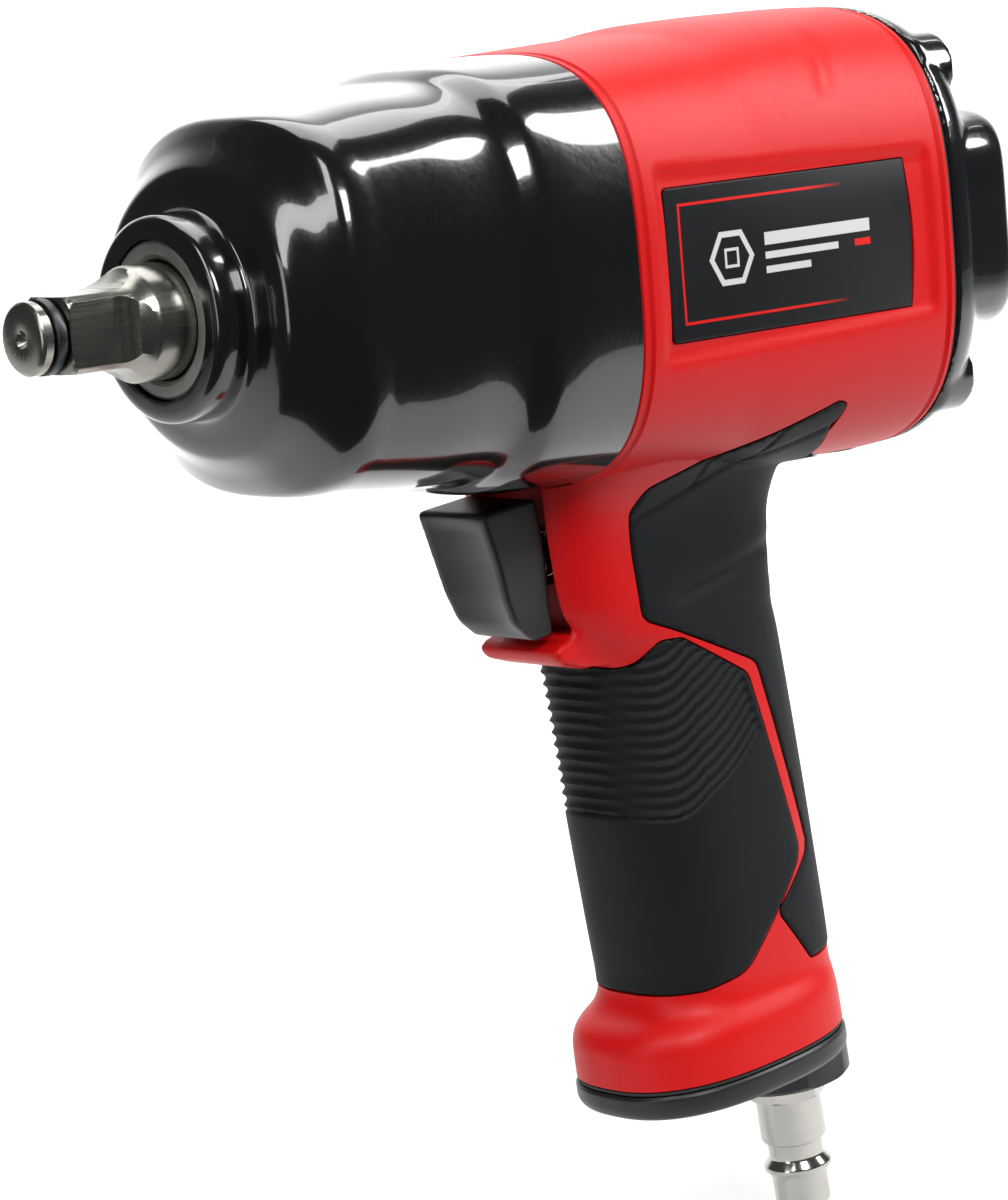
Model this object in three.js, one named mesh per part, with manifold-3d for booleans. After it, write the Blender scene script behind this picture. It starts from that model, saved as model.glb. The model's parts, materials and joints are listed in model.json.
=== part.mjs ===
// Pneumatic half-inch impact wrench with a pistol grip, built as an assembly of separate pieces.
// Millimetres. The drive axis is X, with the square drive's end face at the origin and the tool's back
// towards +X. Z is up, away from the grip, and Y is to the right hand side of someone holding the tool.
import * as THREE from 'three';
import { mergeVertices } from 'three/addons/utils/BufferGeometryUtils.js';
import Module from 'manifold-3d';

const wasm = await Module();
wasm.setup();

// ---------------------------------------------------------------- driving dimensions
const gap = 0.3; // between fixed pieces that touch
const run = 0.45; // between pieces that turn or slide on each other
const fine = 32; // sides of the large round and oval outlines
const coarse = 16; // sides of small round pieces

// Stations along the drive axis.
const square = { front: 5.2, back: 19, size: 12.7, cornerRadius: 8.2 };
const shoulder = { x: 21.5, radius: 9.75 };
const bush = { front: 27.4, back: 41.6, radius: 13.3 };
const caseFront = 26.9;
const cavity = { front: 42.2, radius: 28.4 };
const cage = { front: 46, back: 87, radius: 26.4, plate: 4.2 };
const joint = 101.8; // where the hammer case meets the motor housing
const plateFront = { front: 93.8, back: 106.2 };
const liner = { front: 106.6, back: 152, radius: 29.8, bore: 25, offset: 2.3 };
const plateRear = { front: 152.4, back: 163.6 };
const housingBack = 178;
const coverBack = 196.6;
const screw = { y: 25, z: 28, shank: 2.4, head: 4.2, headLength: 3.6, tip: 95, seat: 183.4 };

// Half width, half height and squareness of the outer casings at stations along the drive axis.
const caseSections = [
  [caseFront, 16.2, 16.2, 2], [27.7, 17.2, 17.2, 2], [33, 18, 18, 2], [35.2, 20.4, 20.4, 2],
  [37, 25.2, 25.2, 2.1], [39.5, 29.6, 29.4, 2.2], [43, 32.5, 32.2, 2.4], [48, 33, 32.8, 2.5],
  [78, 34.9, 34.8, 2.4], [82, 36.2, 36.4, 2.5], [joint - gap, 37.2, 37.9, 3],
];
const barrelSections = [
  [joint, 37.2, 38, 3], [134, 37.5, 39.4, 3], [144, 37.6, 40.6, 3], [housingBack, 37.4, 41, 3],
];
const coverSections = [
  [housingBack + 1.1, 37, 40.6, 3], [184, 36.4, 39.6, 3], [188, 34.4, 36.6, 2.8],
];

// The handle has its own frame: its Z runs along the air plug, and it rakes back from the drive axis.
const rake = THREE.MathUtils.degToRad(6);
const handleX = 127; // where the handle's axis crosses the drive axis
const handle = { width: 17.4, coreInset: 2.3, baseBottom: -147.5 };
const plugX = 12.2; // the air plug's axis, fore and aft, in the handle's frame
// Height, front, rear, half width and squareness of the handle.
const handleSections = [
  [-24, -32, 36, 19, 2.6], [-34, -32.6, 33, 17.6, 2.8], [-41, -33, 25, 16.6, 3],
  [-50, -33.2, 20.2, 16.2, 3], [-57, -32.6, 19.2, 16.4, 2.8], [-64, -27, 19.3, 17, 2.7],
  [-72, -24, 20, 17.4, 2.6], [-127, -22.8, 21, 17.4, 2.6], [-132, -24, 21.2, 17.2, 2.6],
  [-138, -30.2, 21.4, 18.8, 2.5], [handle.baseBottom, -31.4, 21.6, 19.8, 2.5],
];
const triggerTravel = 6;
const trigger = { front: -44.4, back: -32.4, top: -36.1, bottom: -61.2, halfWidth: 9.2 };
const rodZ = -48.5; // height of the trigger rod in the handle's frame
const springLength = 13.6;
const rodBush = { x: -11.6, length: 9, radius: 4.4 };
const plate = { top: handle.baseBottom - 1.1, bottom: handle.baseBottom - 6 };
const baseScrewPlaces = [[-21, 0], [0.5, 14.5], [0.5, -14.5]];
const valve = { x: 4.5, seatZ: -78, seatRadius: 7, seatBore: 4.4, stem: 1.6, headRadius: 6 };

// ---------------------------------------------------------------- tools
function toSolid(geometry) {
  const bare = new THREE.BufferGeometry();
  bare.setAttribute('position', geometry.getAttribute('position').clone());
  if (geometry.index) bare.setIndex(geometry.index.clone());
  const merged = mergeVertices(bare, 1e-4);
  const corners = merged.index.array;
  const kept = [];
  for (let i = 0; i < corners.length; i += 3) {
    const [a, b, c] = [corners[i], corners[i + 1], corners[i + 2]];
    if (a !== b && b !== c && a !== c) kept.push(a, b, c);
  }
  const build = (order) => new wasm.Manifold(new wasm.Mesh({
    numProp: 3, vertProperties: merged.attributes.position.array, triVerts: new Uint32Array(order),
  }));
  const made = build(kept);
  if (made.volume() >= 0) return made;
  for (let i = 0; i < kept.length; i += 3) [kept[i], kept[i + 1]] = [kept[i + 1], kept[i]];
  return build(kept);
}

function toGeometry(solid) {
  const mesh = solid.getMesh();
  const position = new Float32Array(mesh.numVert * 3);
  for (let i = 0; i < mesh.numVert; i++) {
    position.set(mesh.vertProperties.subarray(i * mesh.numProp, i * mesh.numProp + 3), i * 3);
  }
  const geometry = new THREE.BufferGeometry();
  geometry.setAttribute('position', new THREE.BufferAttribute(position, 3));
  geometry.setIndex(new THREE.BufferAttribute(new Uint32Array(mesh.triVerts), 1));
  geometry.computeVertexNormals();
  return geometry;
}

const union = (...solids) => solids.reduce((whole, piece) => whole.add(piece));
const cut = (solid, ...tools) => tools.reduce((left, tool) => left.subtract(tool), solid);
const place = (solid, x, y, z) => solid.translate([x, y, z]);

// A body turned about the drive axis from [station, radius] pairs, closed on the axis.
function turned(profile, sides = fine) {
  const points = [new THREE.Vector2(0, profile[0][0])];
  for (const [x, r] of profile) points.push(new THREE.Vector2(r, x));
  points.push(new THREE.Vector2(0, profile.at(-1)[0]));
  return toSolid(new THREE.LatheGeometry(points, sides).rotateZ(-Math.PI / 2));
}

// A plain cylinder along X, Y or Z that starts at a point.
function rod(axis, from, length, radius, sides = coarse) {
  const geometry = new THREE.CylinderGeometry(radius, radius, length, sides);
  if (axis === 'x') geometry.rotateZ(-Math.PI / 2);
  if (axis === 'z') geometry.rotateX(Math.PI / 2);
  const half = { x: [length / 2, 0, 0], y: [0, length / 2, 0], z: [0, 0, length / 2] }[axis];
  return toSolid(geometry.translate(from[0] + half[0], from[1] + half[1], from[2] + half[2]));
}

function tube(x, length, outer, inner, sides = fine) {
  return cut(rod('x', [x, 0, 0], length, outer, sides), rod('x', [x - 1, 0, 0], length + 2, inner, sides));
}

function block(low, high) {
  const size = high.map((v, i) => v - low[i]);
  const centre = high.map((v, i) => (v + low[i]) / 2);
  return toSolid(new THREE.BoxGeometry(...size).translate(...centre));
}

// Point i of n on a rounded outline that is an ellipse at squareness 2 and nears a box as it grows.
function ovalPoint(i, n, halfA, halfB, squareness) {
  const t = (i / n) * 2 * Math.PI;
  const bend = (v) => Math.sign(v) * Math.abs(v) ** (2 / squareness);
  return [halfA * bend(Math.cos(t)), halfB * bend(Math.sin(t))];
}

// A closed skin through rings of equally many points, with flat ends.
function loft(rings) {
  const n = rings[0].length;
  const position = rings.flat(2);
  const faces = [];
  for (let k = 0; k < rings.length - 1; k++) {
    for (let i = 0; i < n; i++) {
      const a = k * n + i;
      const b = k * n + ((i + 1) % n);
      faces.push(a, b, b + n, a, b + n, a + n);
    }
  }
  for (const [k, turn] of [[0, true], [rings.length - 1, false]]) {
    const centre = [0, 1, 2].map((c) => rings[k].reduce((sum, p) => sum + p[c], 0) / n);
    const middle = position.length / 3;
    position.push(...centre);
    for (let i = 0; i < n; i++) {
      const a = k * n + i;
      const b = k * n + ((i + 1) % n);
      faces.push(middle, turn ? b : a, turn ? a : b);
    }
  }
  const geometry = new THREE.BufferGeometry();
  geometry.setAttribute('position', new THREE.Float32BufferAttribute(position, 3));
  geometry.setIndex(faces);
  return toSolid(geometry);
}

// A casing along the drive axis from [station, half width, half height, squareness] rows.
function casing(sections, grow = 0) {
  return loft(sections.map(([x, halfY, halfZ, squareness]) => Array.from({ length: fine }, (_, i) => {
    const [y, z] = ovalPoint(i, fine, halfY + grow, halfZ + grow, squareness);
    return [x, y, z];
  })));
}

// A column along Z from [height, front, rear, half width, squareness] rows.
function column(sections, grow = 0, sides = 24) {
  return loft(sections.map(([z, front, rear, halfY, squareness]) => Array.from({ length: sides }, (_, i) => {
    const [x, y] = ovalPoint(i, sides, (rear - front) / 2 + grow, halfY + grow, squareness);
    return [(rear + front) / 2 + x, y, z];
  })));
}

// A plate with an outline of [x, z] points, as thick as from y low to y high.
function sideProfile(outline, low, high) {
  const shape = new THREE.Shape(outline.map(([x, z]) => new THREE.Vector2(x, z)));
  const geometry = new THREE.ExtrudeGeometry(shape, { depth: high - low, bevelEnabled: false });
  return toSolid(geometry.rotateX(Math.PI / 2).translate(0, high, 0));
}

// A sector about the drive axis, between two angles in degrees from +Y towards +Z.
function sector(x, length, inner, outer, from, to, steps = 4) {
  const shape = new THREE.Shape();
  const a = THREE.MathUtils.degToRad(from);
  const b = THREE.MathUtils.degToRad(to);
  shape.absarc(0, 0, outer, a, b, false);
  shape.absarc(0, 0, inner, b, a, true);
  const geometry = new THREE.ExtrudeGeometry(shape, { depth: length, bevelEnabled: false, curveSegments: steps });
  geometry.applyMatrix4(new THREE.Matrix4().makeBasis(
    new THREE.Vector3(0, 1, 0), new THREE.Vector3(0, 0, 1), new THREE.Vector3(1, 0, 0)));
  return toSolid(geometry.translate(x, 0, 0));
}

// A coil spring along Z with open ends.
function coil(radius, wire, height, turns, sides = 3, stepsPerTurn = 8) {
  class Helix extends THREE.Curve {
    getPoint(t, target = new THREE.Vector3()) {
      const angle = t * turns * 2 * Math.PI;
      return target.set(radius * Math.cos(angle), radius * Math.sin(angle), wire + t * (height - 2 * wire));
    }
  }
  const section = new THREE.Shape().absarc(0, 0, wire, 0, 2 * Math.PI, false);
  return toSolid(new THREE.ExtrudeGeometry(section, {
    steps: turns * stepsPerTurn, curveSegments: sides, extrudePath: new Helix(), bevelEnabled: false,
  }));
}

// ---------------------------------------------------------------- finishes
const finish = (color, roughness, metalness) => new THREE.MeshStandardMaterial({ color, roughness, metalness });
const finishes = {
  redNylon: finish(0xd8100c, 0.42, 0),
  blackPaint: finish(0x07080a, 0.16, 0),
  rubber: finish(0x14171a, 0.72, 0),
  blackNylon: finish(0x101214, 0.45, 0),
  label: finish(0x0b0e12, 0.35, 0),
  groundSteel: finish(0xb9bab2, 0.3, 1),
  darkSteel: finish(0x4a4c4a, 0.4, 1),
  bushSteel: finish(0x8d9188, 0.5, 1),
  nickel: finish(0xd9dcd6, 0.18, 1),
  castIron: finish(0x5c5e60, 0.55, 1),
  vane: finish(0x6b4a2c, 0.7, 0),
  gasket: finish(0x3a3d36, 0.85, 0),
  felt: finish(0x8c8a80, 0.95, 0),
  brass: finish(0xb59a55, 0.35, 1),
};

const wrench = new THREE.Group();
const handleGroup = new THREE.Group();
handleGroup.position.set(handleX, 0, 0);
handleGroup.rotation.y = -rake;
wrench.add(handleGroup);

function add(name, solid, material, group = wrench) {
  const mesh = new THREE.Mesh(toGeometry(solid), material);
  mesh.name = name;
  group.add(mesh);
}

// Moves a solid from the handle's frame into the tool's own, for cuts in the motor housing.
const fromHandle = (solid) => place(solid.rotate([0, -THREE.MathUtils.radToDeg(rake), 0]), handleX, 0, 0);

// ---------------------------------------------------------------- square drive
function anvil() {
  const nose = turned([[0, 5.5], [0.7, 6.1], [2.3, 6.1], [2.5, 4.8], [square.front, 4.8]], coarse);
  const half = square.size / 2;
  const drive = block([square.front - 0.2, -half, -half], [square.back + 2, half, half])
    .intersect(turned([[square.front - 0.2, 7.4], [square.front + 0.6, square.cornerRadius],
      [square.back + 2, square.cornerRadius]]));
  const body = turned([
    [square.back - 1.4, 7.6], [shoulder.x, shoulder.radius], [42.6, shoulder.radius], [42.6, 12.6],
    [45.2, 12.6], [45.2, shoulder.radius], [50.6, shoulder.radius], [50.6, 9.2], [81, 9.2], [81, 5.6],
    [cage.back - 1, 5.6],
  ], 24);
  return union(nose, drive, body, sector(51.2, 13.4, 8, 14, -16, 16), sector(66.2, 13.4, 8, 14, 164, 196));
}

function retainingRing() {
  const ring = tube(2.9, 1.7, 6.35, 5.15, coarse);
  return cut(ring, block([2, -0.6, 4], [6, 0.6, 8])); // split, so that a socket can squeeze it shut
}

function bearingRing(profile, sides = 24) {
  const points = [...profile, profile[0]].map(([x, r]) => new THREE.Vector2(r, x));
  return toSolid(new THREE.LatheGeometry(points, sides).rotateZ(-Math.PI / 2));
}

add('anvil', anvil(), finishes.groundSteel);
add('retaining_ring', retainingRing(), finishes.darkSteel);
add('anvil_bush', bearingRing([
  [bush.front, 10.6], [bush.front + 0.5, 10.2], [bush.back, 10.2], [bush.back, bush.radius],
  [bush.front + 0.4, bush.radius], [bush.front, bush.radius - 0.4]]), finishes.bushSteel);

// ---------------------------------------------------------------- hammer case
const screwPlaces = [[-1, 1], [1, 1], [1, -1], [-1, -1]].map(([y, z]) => [y * screw.y, z * screw.z]);

function hammerCase() {
  const inside = turned([
    [caseFront - 2, bush.radius + gap], [cavity.front, bush.radius + gap], [cavity.front, cavity.radius - 3],
    [cavity.front + 3, cavity.radius], [plateFront.front - gap, cavity.radius],
    [plateFront.front - gap, liner.radius + gap], [joint + 1, liner.radius + gap]]);
  const holes = screwPlaces.map(([y, z]) => rod('x', [screw.tip - 1, y, z], 20, screw.shank + gap, 12));
  return cut(casing(caseSections), inside, ...holes);
}
add('hammer_case', hammerCase(), finishes.blackPaint);

// ---------------------------------------------------------------- hammer mechanism
const pin = { radius: 3.4, orbit: 21.7, front: 47, back: 86 };
const dogLength = 13.4;

function hammerCage() {
  const discs = union(
    tube(cage.front, cage.plate, cage.radius, shoulder.radius + run, 32),
    tube(cage.back - cage.plate, cage.plate, cage.radius, 6.2, 32),
    tube(cage.back - 0.1, 6.2, 11, 6.2, coarse));
  const bars = [0, 180].map((at) => sector(
    cage.front + 0.1, cage.back - cage.front - 0.2, 24.3, cage.radius, at - 28, at + 28));
  const pinHoles = [1, -1].map((side) => rod(
    'x', [pin.front - gap, 0, side * pin.orbit], pin.back - pin.front + 2 * gap, pin.radius + gap, 16));
  return cut(union(discs, ...bars), ...pinHoles);
}

// A ring-shaped hammer that rocks on one pin, with a jaw inside that strikes the anvil's lobe.
function hammerDog(x, side) {
  const ring = tube(x, dogLength, 22, 15.8, fine);
  const jaw = sector(x, dogLength, 12.5, 17, 19.5, 50);
  const pivot = rod('x', [x - 1, 0, pin.orbit], dogLength + 2, pin.radius + run, 16);
  const slotHalf = pin.radius + 4.6;
  const slot = block([x - 1, -slotHalf, -30], [x + dogLength + 1, slotHalf, -pin.orbit + pin.radius + 0.5]);
  const dog = cut(union(ring, jaw), pivot, slot);
  return side > 0 ? dog : dog.rotate([180, 0, 0]);
}

add('hammer_cage', hammerCage(), finishes.castIron);
add('hammer_pin_top', rod('x', [pin.front, 0, pin.orbit], pin.back - pin.front, pin.radius, 16), finishes.groundSteel);
add('hammer_pin_bottom', rod('x', [pin.front, 0, -pin.orbit], pin.back - pin.front, pin.radius, 16),
  finishes.groundSteel);
add('hammer_front', hammerDog(51.2, 1), finishes.castIron);
add('hammer_rear', hammerDog(66.2, -1), finishes.castIron);

// ---------------------------------------------------------------- air motor
const rotorRadius = 22.4;
const vaneCount = 6;
const vaneDepth = 10;
const vaneThickness = 2;

function rotor() {
  const body = turned([
    [cage.back + 0.6, 5.7], [plateFront.front - 2, 5.7], [liner.front + 0.5, 5.7],
    [liner.front + 0.5, rotorRadius], [liner.back - 0.5, rotorRadius], [liner.back - 0.5, 5.7],
    [plateRear.back - 0.6, 5.7]], 36);
  const slots = Array.from({ length: vaneCount }, (_, i) => block(
    [liner.front, -vaneThickness / 2 - gap, rotorRadius - vaneDepth - 1],
    [liner.back, vaneThickness / 2 + gap, rotorRadius + 2]).rotate([(i * 360) / vaneCount, 0, 0]));
  return cut(body, ...slots);
}

function vane(i) {
  return block(
    [liner.front + 0.8, -vaneThickness / 2, rotorRadius - vaneDepth - 0.6],
    [liner.back - 0.8, vaneThickness / 2, rotorRadius - 0.4]).rotate([(i * 360) / vaneCount, 0, 0]);
}

// A steel disc with a bearing pocket in its back face.
function endPlate(front, back, pocketRadius, pocketDepth, bore) {
  return cut(
    rod('x', [front, 0, 0], back - front, liner.radius, fine),
    rod('x', [back - pocketDepth, 0, 0], pocketDepth + 1, pocketRadius + gap, 32),
    rod('x', [front - 1, 0, 0], back - front + 2, bore, coarse));
}

function cylinderLiner() {
  const ports = [-1, 1].map((side) => rod('y', [120, side > 0 ? 20 : -34, -8], 14, 4, 12));
  return cut(
    rod('x', [liner.front, 0, 0], liner.back - liner.front, liner.radius, fine),
    place(rod('x', [liner.front - 1, 0, 0], liner.back - liner.front + 2, liner.bore, fine), 0, 0, liner.offset),
    ...ports);
}

// Outer and inner races with a groove for the balls, and the balls in their cage.
function bearing(name, x, width, boreRadius, outerRadius, ballRadius, ballCount) {
  const middle = x + width / 2;
  const pitch = (boreRadius + outerRadius) / 2;
  const land = ballRadius * 0.55;
  const deep = ballRadius + 0.3;
  const outer = [[x, outerRadius], [x, pitch + land], [middle - deep, pitch + land], [middle - 1, pitch + deep],
    [middle + 1, pitch + deep], [middle + deep, pitch + land], [x + width, pitch + land], [x + width, outerRadius]];
  const inner = outer.map(([at, r]) => [at, r === outerRadius ? boreRadius : 2 * pitch - r]);
  add(name + '_bearing_outer_race', bearingRing(outer), finishes.groundSteel);
  add(name + '_bearing_inner_race', bearingRing(inner), finishes.groundSteel);
  const balls = Array.from({ length: ballCount }, (_, i) => toSolid(
    new THREE.SphereGeometry(ballRadius, 6, 4).translate(middle, pitch, 0)).rotate([(i * 360) / ballCount, 0, 0]));
  const ring = tube(middle - 1, 2, pitch + land - 0.5, pitch - land + 0.5, coarse);
  add(name + '_bearing_balls', union(ring, ...balls), finishes.nickel);
}

add('rotor', rotor(), finishes.groundSteel);
for (let i = 0; i < vaneCount; i++) add('rotor_vane_' + (i + 1), vane(i), finishes.vane);
add('front_end_plate', endPlate(plateFront.front, plateFront.back, 16, 10.2, 9), finishes.castIron);
add('rear_end_plate', endPlate(plateRear.front, plateRear.back, 14, 8.6, 8), finishes.castIron);
add('cylinder_liner', cylinderLiner(), finishes.castIron);
bearing('front', plateFront.back - 9.8, 9.4, 6.1, 16, 2.9, 7);
bearing('rear', plateRear.back - 8.3, 7.8, 6.1, 14, 2.3, 8);

// ---------------------------------------------------------------- motor housing and handle
const labelPlace = { front: 109, back: 168.4, halfHeight: 13.2, depth: 0.9 };
const labelOutline = (grow) => {
  const { front, back, halfHeight } = labelPlace;
  const edge = [[front - grow, -halfHeight - grow], [back - 1 + grow, -halfHeight - grow],
    [back + 0.4 + grow, 0], [back - 1 + grow, halfHeight + grow], [front - grow, halfHeight + grow]];
  return edge;
};
const labelSolid = (side, grow) => sideProfile(
  labelOutline(grow), side > 0 ? 36.6 - grow : -37.5 - 2 * grow, side > 0 ? 37.5 + 2 * grow : -36.6 + grow);

// Side outlines of the two rubber grips, in the handle's frame.
const frontGripOutline = [
  [-60, -68], [-24, -68.8], [-15, -67.2], [-11.4, -67.6], [2.4, -77], [9.2, -111.5],
  [-8.4, -130], [-14, -131.6], [-60, -131.6],
];
const rearGripOutline = [
  [60, -40], [24.4, -31.6], [22.4, -30.8], [-17.5, -38.6], [-19, -40.4], [-18.6, -61.5],
  [-12, -65.3], [5.6, -76.4], [12.6, -112.5], [1.4, -121.8], [8.8, -133.8], [60, -133.8],
];

// The handle's outside, and the core that the rubber is moulded over.
const handleOutside = column(handleSections);
const handleCore = column([[-23.5, -32, 36, 19, 2.6], ...handleSections.slice(1)], -handle.coreInset);
const barrelOutside = casing(barrelSections);

function gripSkin(outline) {
  const skin = handleOutside.subtract(column(handleSections, gap - handle.coreInset));
  const clearOfBarrel = place(casing(barrelSections, gap), -handleX, 0, 0)
    .rotate([0, THREE.MathUtils.radToDeg(rake), 0]);
  return skin.intersect(sideProfile(outline, -30, 30)).subtract(clearOfBarrel);
}

const grownOutline = (outline) => sideProfile(outline, -30, 30);

// The hollow that runs down the handle for incoming air, and the one that lets spent air out.
function handlePassages() {
  const inlet = rod('z', [plugX, 0, -152], 64, 6.4, 20);
  const valveRoom = block([valve.x - 7.4, -6.6, -88], [plugX + 5, 6.6, -42]);
  const seat = rod('z', [valve.x, 0, -88], 14, valve.seatRadius + gap, 20);
  const exhaust = block([-17.6, -8, -152], [-4, 8, -72.6]);
  const rodHole = rod('x', [-45, 0, rodZ], 45 + valve.x, 2.2 + run, 16);
  const springRoom = rod('x', [-34, 0, rodZ], 16.2, 5.6);
  const bushSeat = rod('x', [rodBush.x - 4, 0, rodZ], rodBush.length + 4 + gap, rodBush.radius + gap, 12);
  const collarSeat = rod('z', [plugX, 0, -170], 170 + plate.bottom + 12, 8.1 + gap);
  const screwHoles = baseScrewPlaces.map(([x, y]) => rod('z', [x, y, -170], 33, 1.7 + gap, 8));
  return [inlet, valveRoom, seat, exhaust, rodHole, springRoom, bushSeat, collarSeat, ...screwHoles];
}

function triggerSlot() {
  const room = triggerTravel + run;
  return block([trigger.front - 20, -trigger.halfWidth - run, trigger.bottom - run],
    [trigger.back + room, trigger.halfWidth + run, trigger.top + 4]);
}

// The lip under the trigger that keeps a finger from slipping off it.
function triggerLip() {
  return sideProfile([[-22, -58], [-29, -62], [-36, -63.4], [-38, -64.4], [-37.6, -66], [-33, -67.6],
    [-25, -68.6], [-20, -66]], -10.4, 10.4);
}

function motorHousing() {
  const bore = turned([
    [joint - 1, liner.radius + gap], [plateRear.back + gap, liner.radius + gap],
    [plateRear.back + gap, 26], [housingBack + 1, 26]]);
  const skinCuts = [frontGripOutline, rearGripOutline].map(grownOutline);
  const redSkin = skinCuts.reduce((left, tool) => left.subtract(tool), handleOutside);
  const grip = cut(union(redSkin, handleCore, triggerLip()), triggerSlot(), ...handlePassages());
  const screwHoles = screwPlaces.map(([y, z]) => rod('x', [joint - 1, y, z], 80, screw.shank + gap, 12));
  const inletDuct = fromHandle(block([2, -6, -48], [12, 6, -23]));
  const exhaustDuct = fromHandle(block([-17.2, -7.5, -80], [-11.4, 7.5, -23]));
  const clearOfCase = casing([...caseSections.slice(-2, -1), [joint, 37.2, 37.9, 3]], gap);
  return cut(union(barrelOutside, fromHandle(grip).subtract(clearOfCase)), bore, labelSolid(1, gap), labelSolid(-1, gap),
    ...screwHoles, inletDuct, exhaustDuct);
}

add('motor_housing', motorHousing(), finishes.redNylon);
add('front_grip', gripSkin(frontGripOutline), finishes.rubber, handleGroup);
add('rear_grip', gripSkin(rearGripOutline), finishes.rubber, handleGroup);
add('label_left', labelSolid(-1, 0), finishes.label);
add('label_right', labelSolid(1, 0), finishes.label);

// ---------------------------------------------------------------- rear cover and selector
const knob = { radius: 15, front: 189.6, back: 194, bar: 197 };

function rearCover() {
  const shell = casing(coverSections);
  const middle = casing([
    [housingBack + 1.1, 36.6, 20, 6], [193, 35.6, 20.2, 6], [coverBack - 1.4, 34.6, 20.6, 5],
    [coverBack, 32.6, 19.2, 4]]);
  const bosses = screwPlaces.map(([y, z]) => rod('x', [housingBack + 1.1, y, z], 8.3, 6.8, coarse));
  const seats = screwPlaces.map(([y, z]) => rod('x', [screw.seat - gap, y, z], 12, screw.head + gap, 16));
  const holes = screwPlaces.map(([y, z]) => rod('x', [housingBack, y, z], 20, screw.shank + gap, 12));
  return cut(union(shell, middle, ...bosses), ...seats, ...holes,
    rod('x', [housingBack, 0, 0], 9, 24, 32), rod('x', [housingBack, 0, 0], 20, 5.4, coarse),
    rod('x', [knob.front - run, 0, 0], 12, knob.radius + run, 32));
}

function ringPlate(x, thickness, sections, inner) {
  const [, halfY, halfZ, squareness] = sections;
  const outline = casing([[x, halfY, halfZ, squareness], [x + thickness, halfY, halfZ, squareness]]);
  const holes = screwPlaces.map(([y, z]) => rod('x', [x - 1, y, z], thickness + 2, screw.shank + gap, 12));
  return cut(outline, rod('x', [x - 1, 0, 0], thickness + 2, inner, fine), ...holes);
}

function coverScrew([y, z]) {
  const shank = rod('x', [screw.tip, 0, 0], screw.seat - screw.tip + 0.1, screw.shank, 12);
  const head = rod('x', [screw.seat, 0, 0], screw.headLength, screw.head, 16);
  const socket = rod('x', [screw.seat + 1.4, 0, 0], 5, 2.3, 6);
  return place(cut(union(shank, head), socket), 0, y, z);
}

function selectorKnob() {
  const dial = rod('x', [knob.front, 0, 0], knob.back - knob.front, knob.radius, 32);
  const bar = block([knob.back - 0.1, -3, -12], [knob.bar, 3, 12]);
  return cut(union(dial, bar), rod('x', [knob.front - 1, 0, 0], 3.4, 3.2, 6));
}

function reverseValve() {
  const disc = rod('x', [168.5, 0, 0], 14, 16, 32);
  const stem = rod('x', [182.4, 0, 0], knob.front + 2 - 182.4, 2.8, 6);
  const neck = rod('x', [182.4, 0, 0], knob.front - gap - 182.4, 4.9, coarse);
  const ports = [45, 225].map((at) => rod('x', [160, 10, 0], 30, 3.4, 12).rotate([at, 0, 0]));
  return cut(union(disc, neck, stem), ...ports);
}

add('rear_gasket', ringPlate(housingBack + gap, 0.5, barrelSections.at(-1), 26), finishes.gasket);
add('rear_cover', rearCover(), finishes.blackPaint);
screwPlaces.forEach((spot, i) => add('cover_screw_' + (i + 1), coverScrew(spot), finishes.darkSteel));
add('selector_knob', selectorKnob(), finishes.blackNylon);
add('reverse_valve', reverseValve(), finishes.brass);
add('valve_sleeve', tube(168.3, 13.4, 22, 16 + run, 32), finishes.castIron);

// ---------------------------------------------------------------- trigger and throttle
function triggerBody() {
  const { front, back, top, bottom, halfWidth } = trigger;
  const outline = [[front, top], [front + 0.9, -44], [front + 1.8, -50], [front + 3.4, -56], [front + 5.6, -59.6],
    [front + 8.4, bottom], [back, bottom + 0.3], [back, top]];
  return cut(sideProfile(outline, -halfWidth, halfWidth), rod('x', [back - 4, 0, rodZ], 10, 2.2 + gap, 12));
}

add('trigger', triggerBody(), finishes.blackNylon, handleGroup);
add('trigger_rod', rod('x', [trigger.back - 3.6, 0, rodZ], valve.x - valve.stem - 0.5 - (trigger.back - 3.6), 2.2, 16),
  finishes.groundSteel, handleGroup);
add('trigger_spring', coil(4.2, 0.6, springLength, 5).rotate([0, 90, 0]).translate([trigger.back + 0.4, 0, rodZ]),
  finishes.groundSteel, handleGroup);
add('rod_bush', place(tube(rodBush.x, rodBush.length, rodBush.radius, 2.2 + run, 12), 0, 0, rodZ), finishes.brass,
  handleGroup);

function throttleValve() {
  const head = rod('z', [valve.x, 0, valve.seatZ - 5.4], 2.4, valve.headRadius, 20);
  const stem = rod('z', [valve.x, 0, valve.seatZ - 3.2], rodZ + 4 - (valve.seatZ - 3.2), valve.stem, 12);
  return union(head, stem);
}

function valveSeat() {
  return cut(rod('z', [valve.x, 0, valve.seatZ - 2.6], 5.2, valve.seatRadius, 20),
    rod('z', [valve.x, 0, valve.seatZ - 4], 9, valve.seatBore, 20));
}

add('throttle_valve', throttleValve(), finishes.brass, handleGroup);
add('valve_seat', valveSeat(), finishes.brass, handleGroup);

// ---------------------------------------------------------------- handle base and air inlet
function baseOutline(top, bottom, grow) {
  const rows = [bottom, top].map((z) => [z, -31.6 - grow, 21.8 + grow, 20 + grow, 2.5]);
  return column(rows);
}

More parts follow.
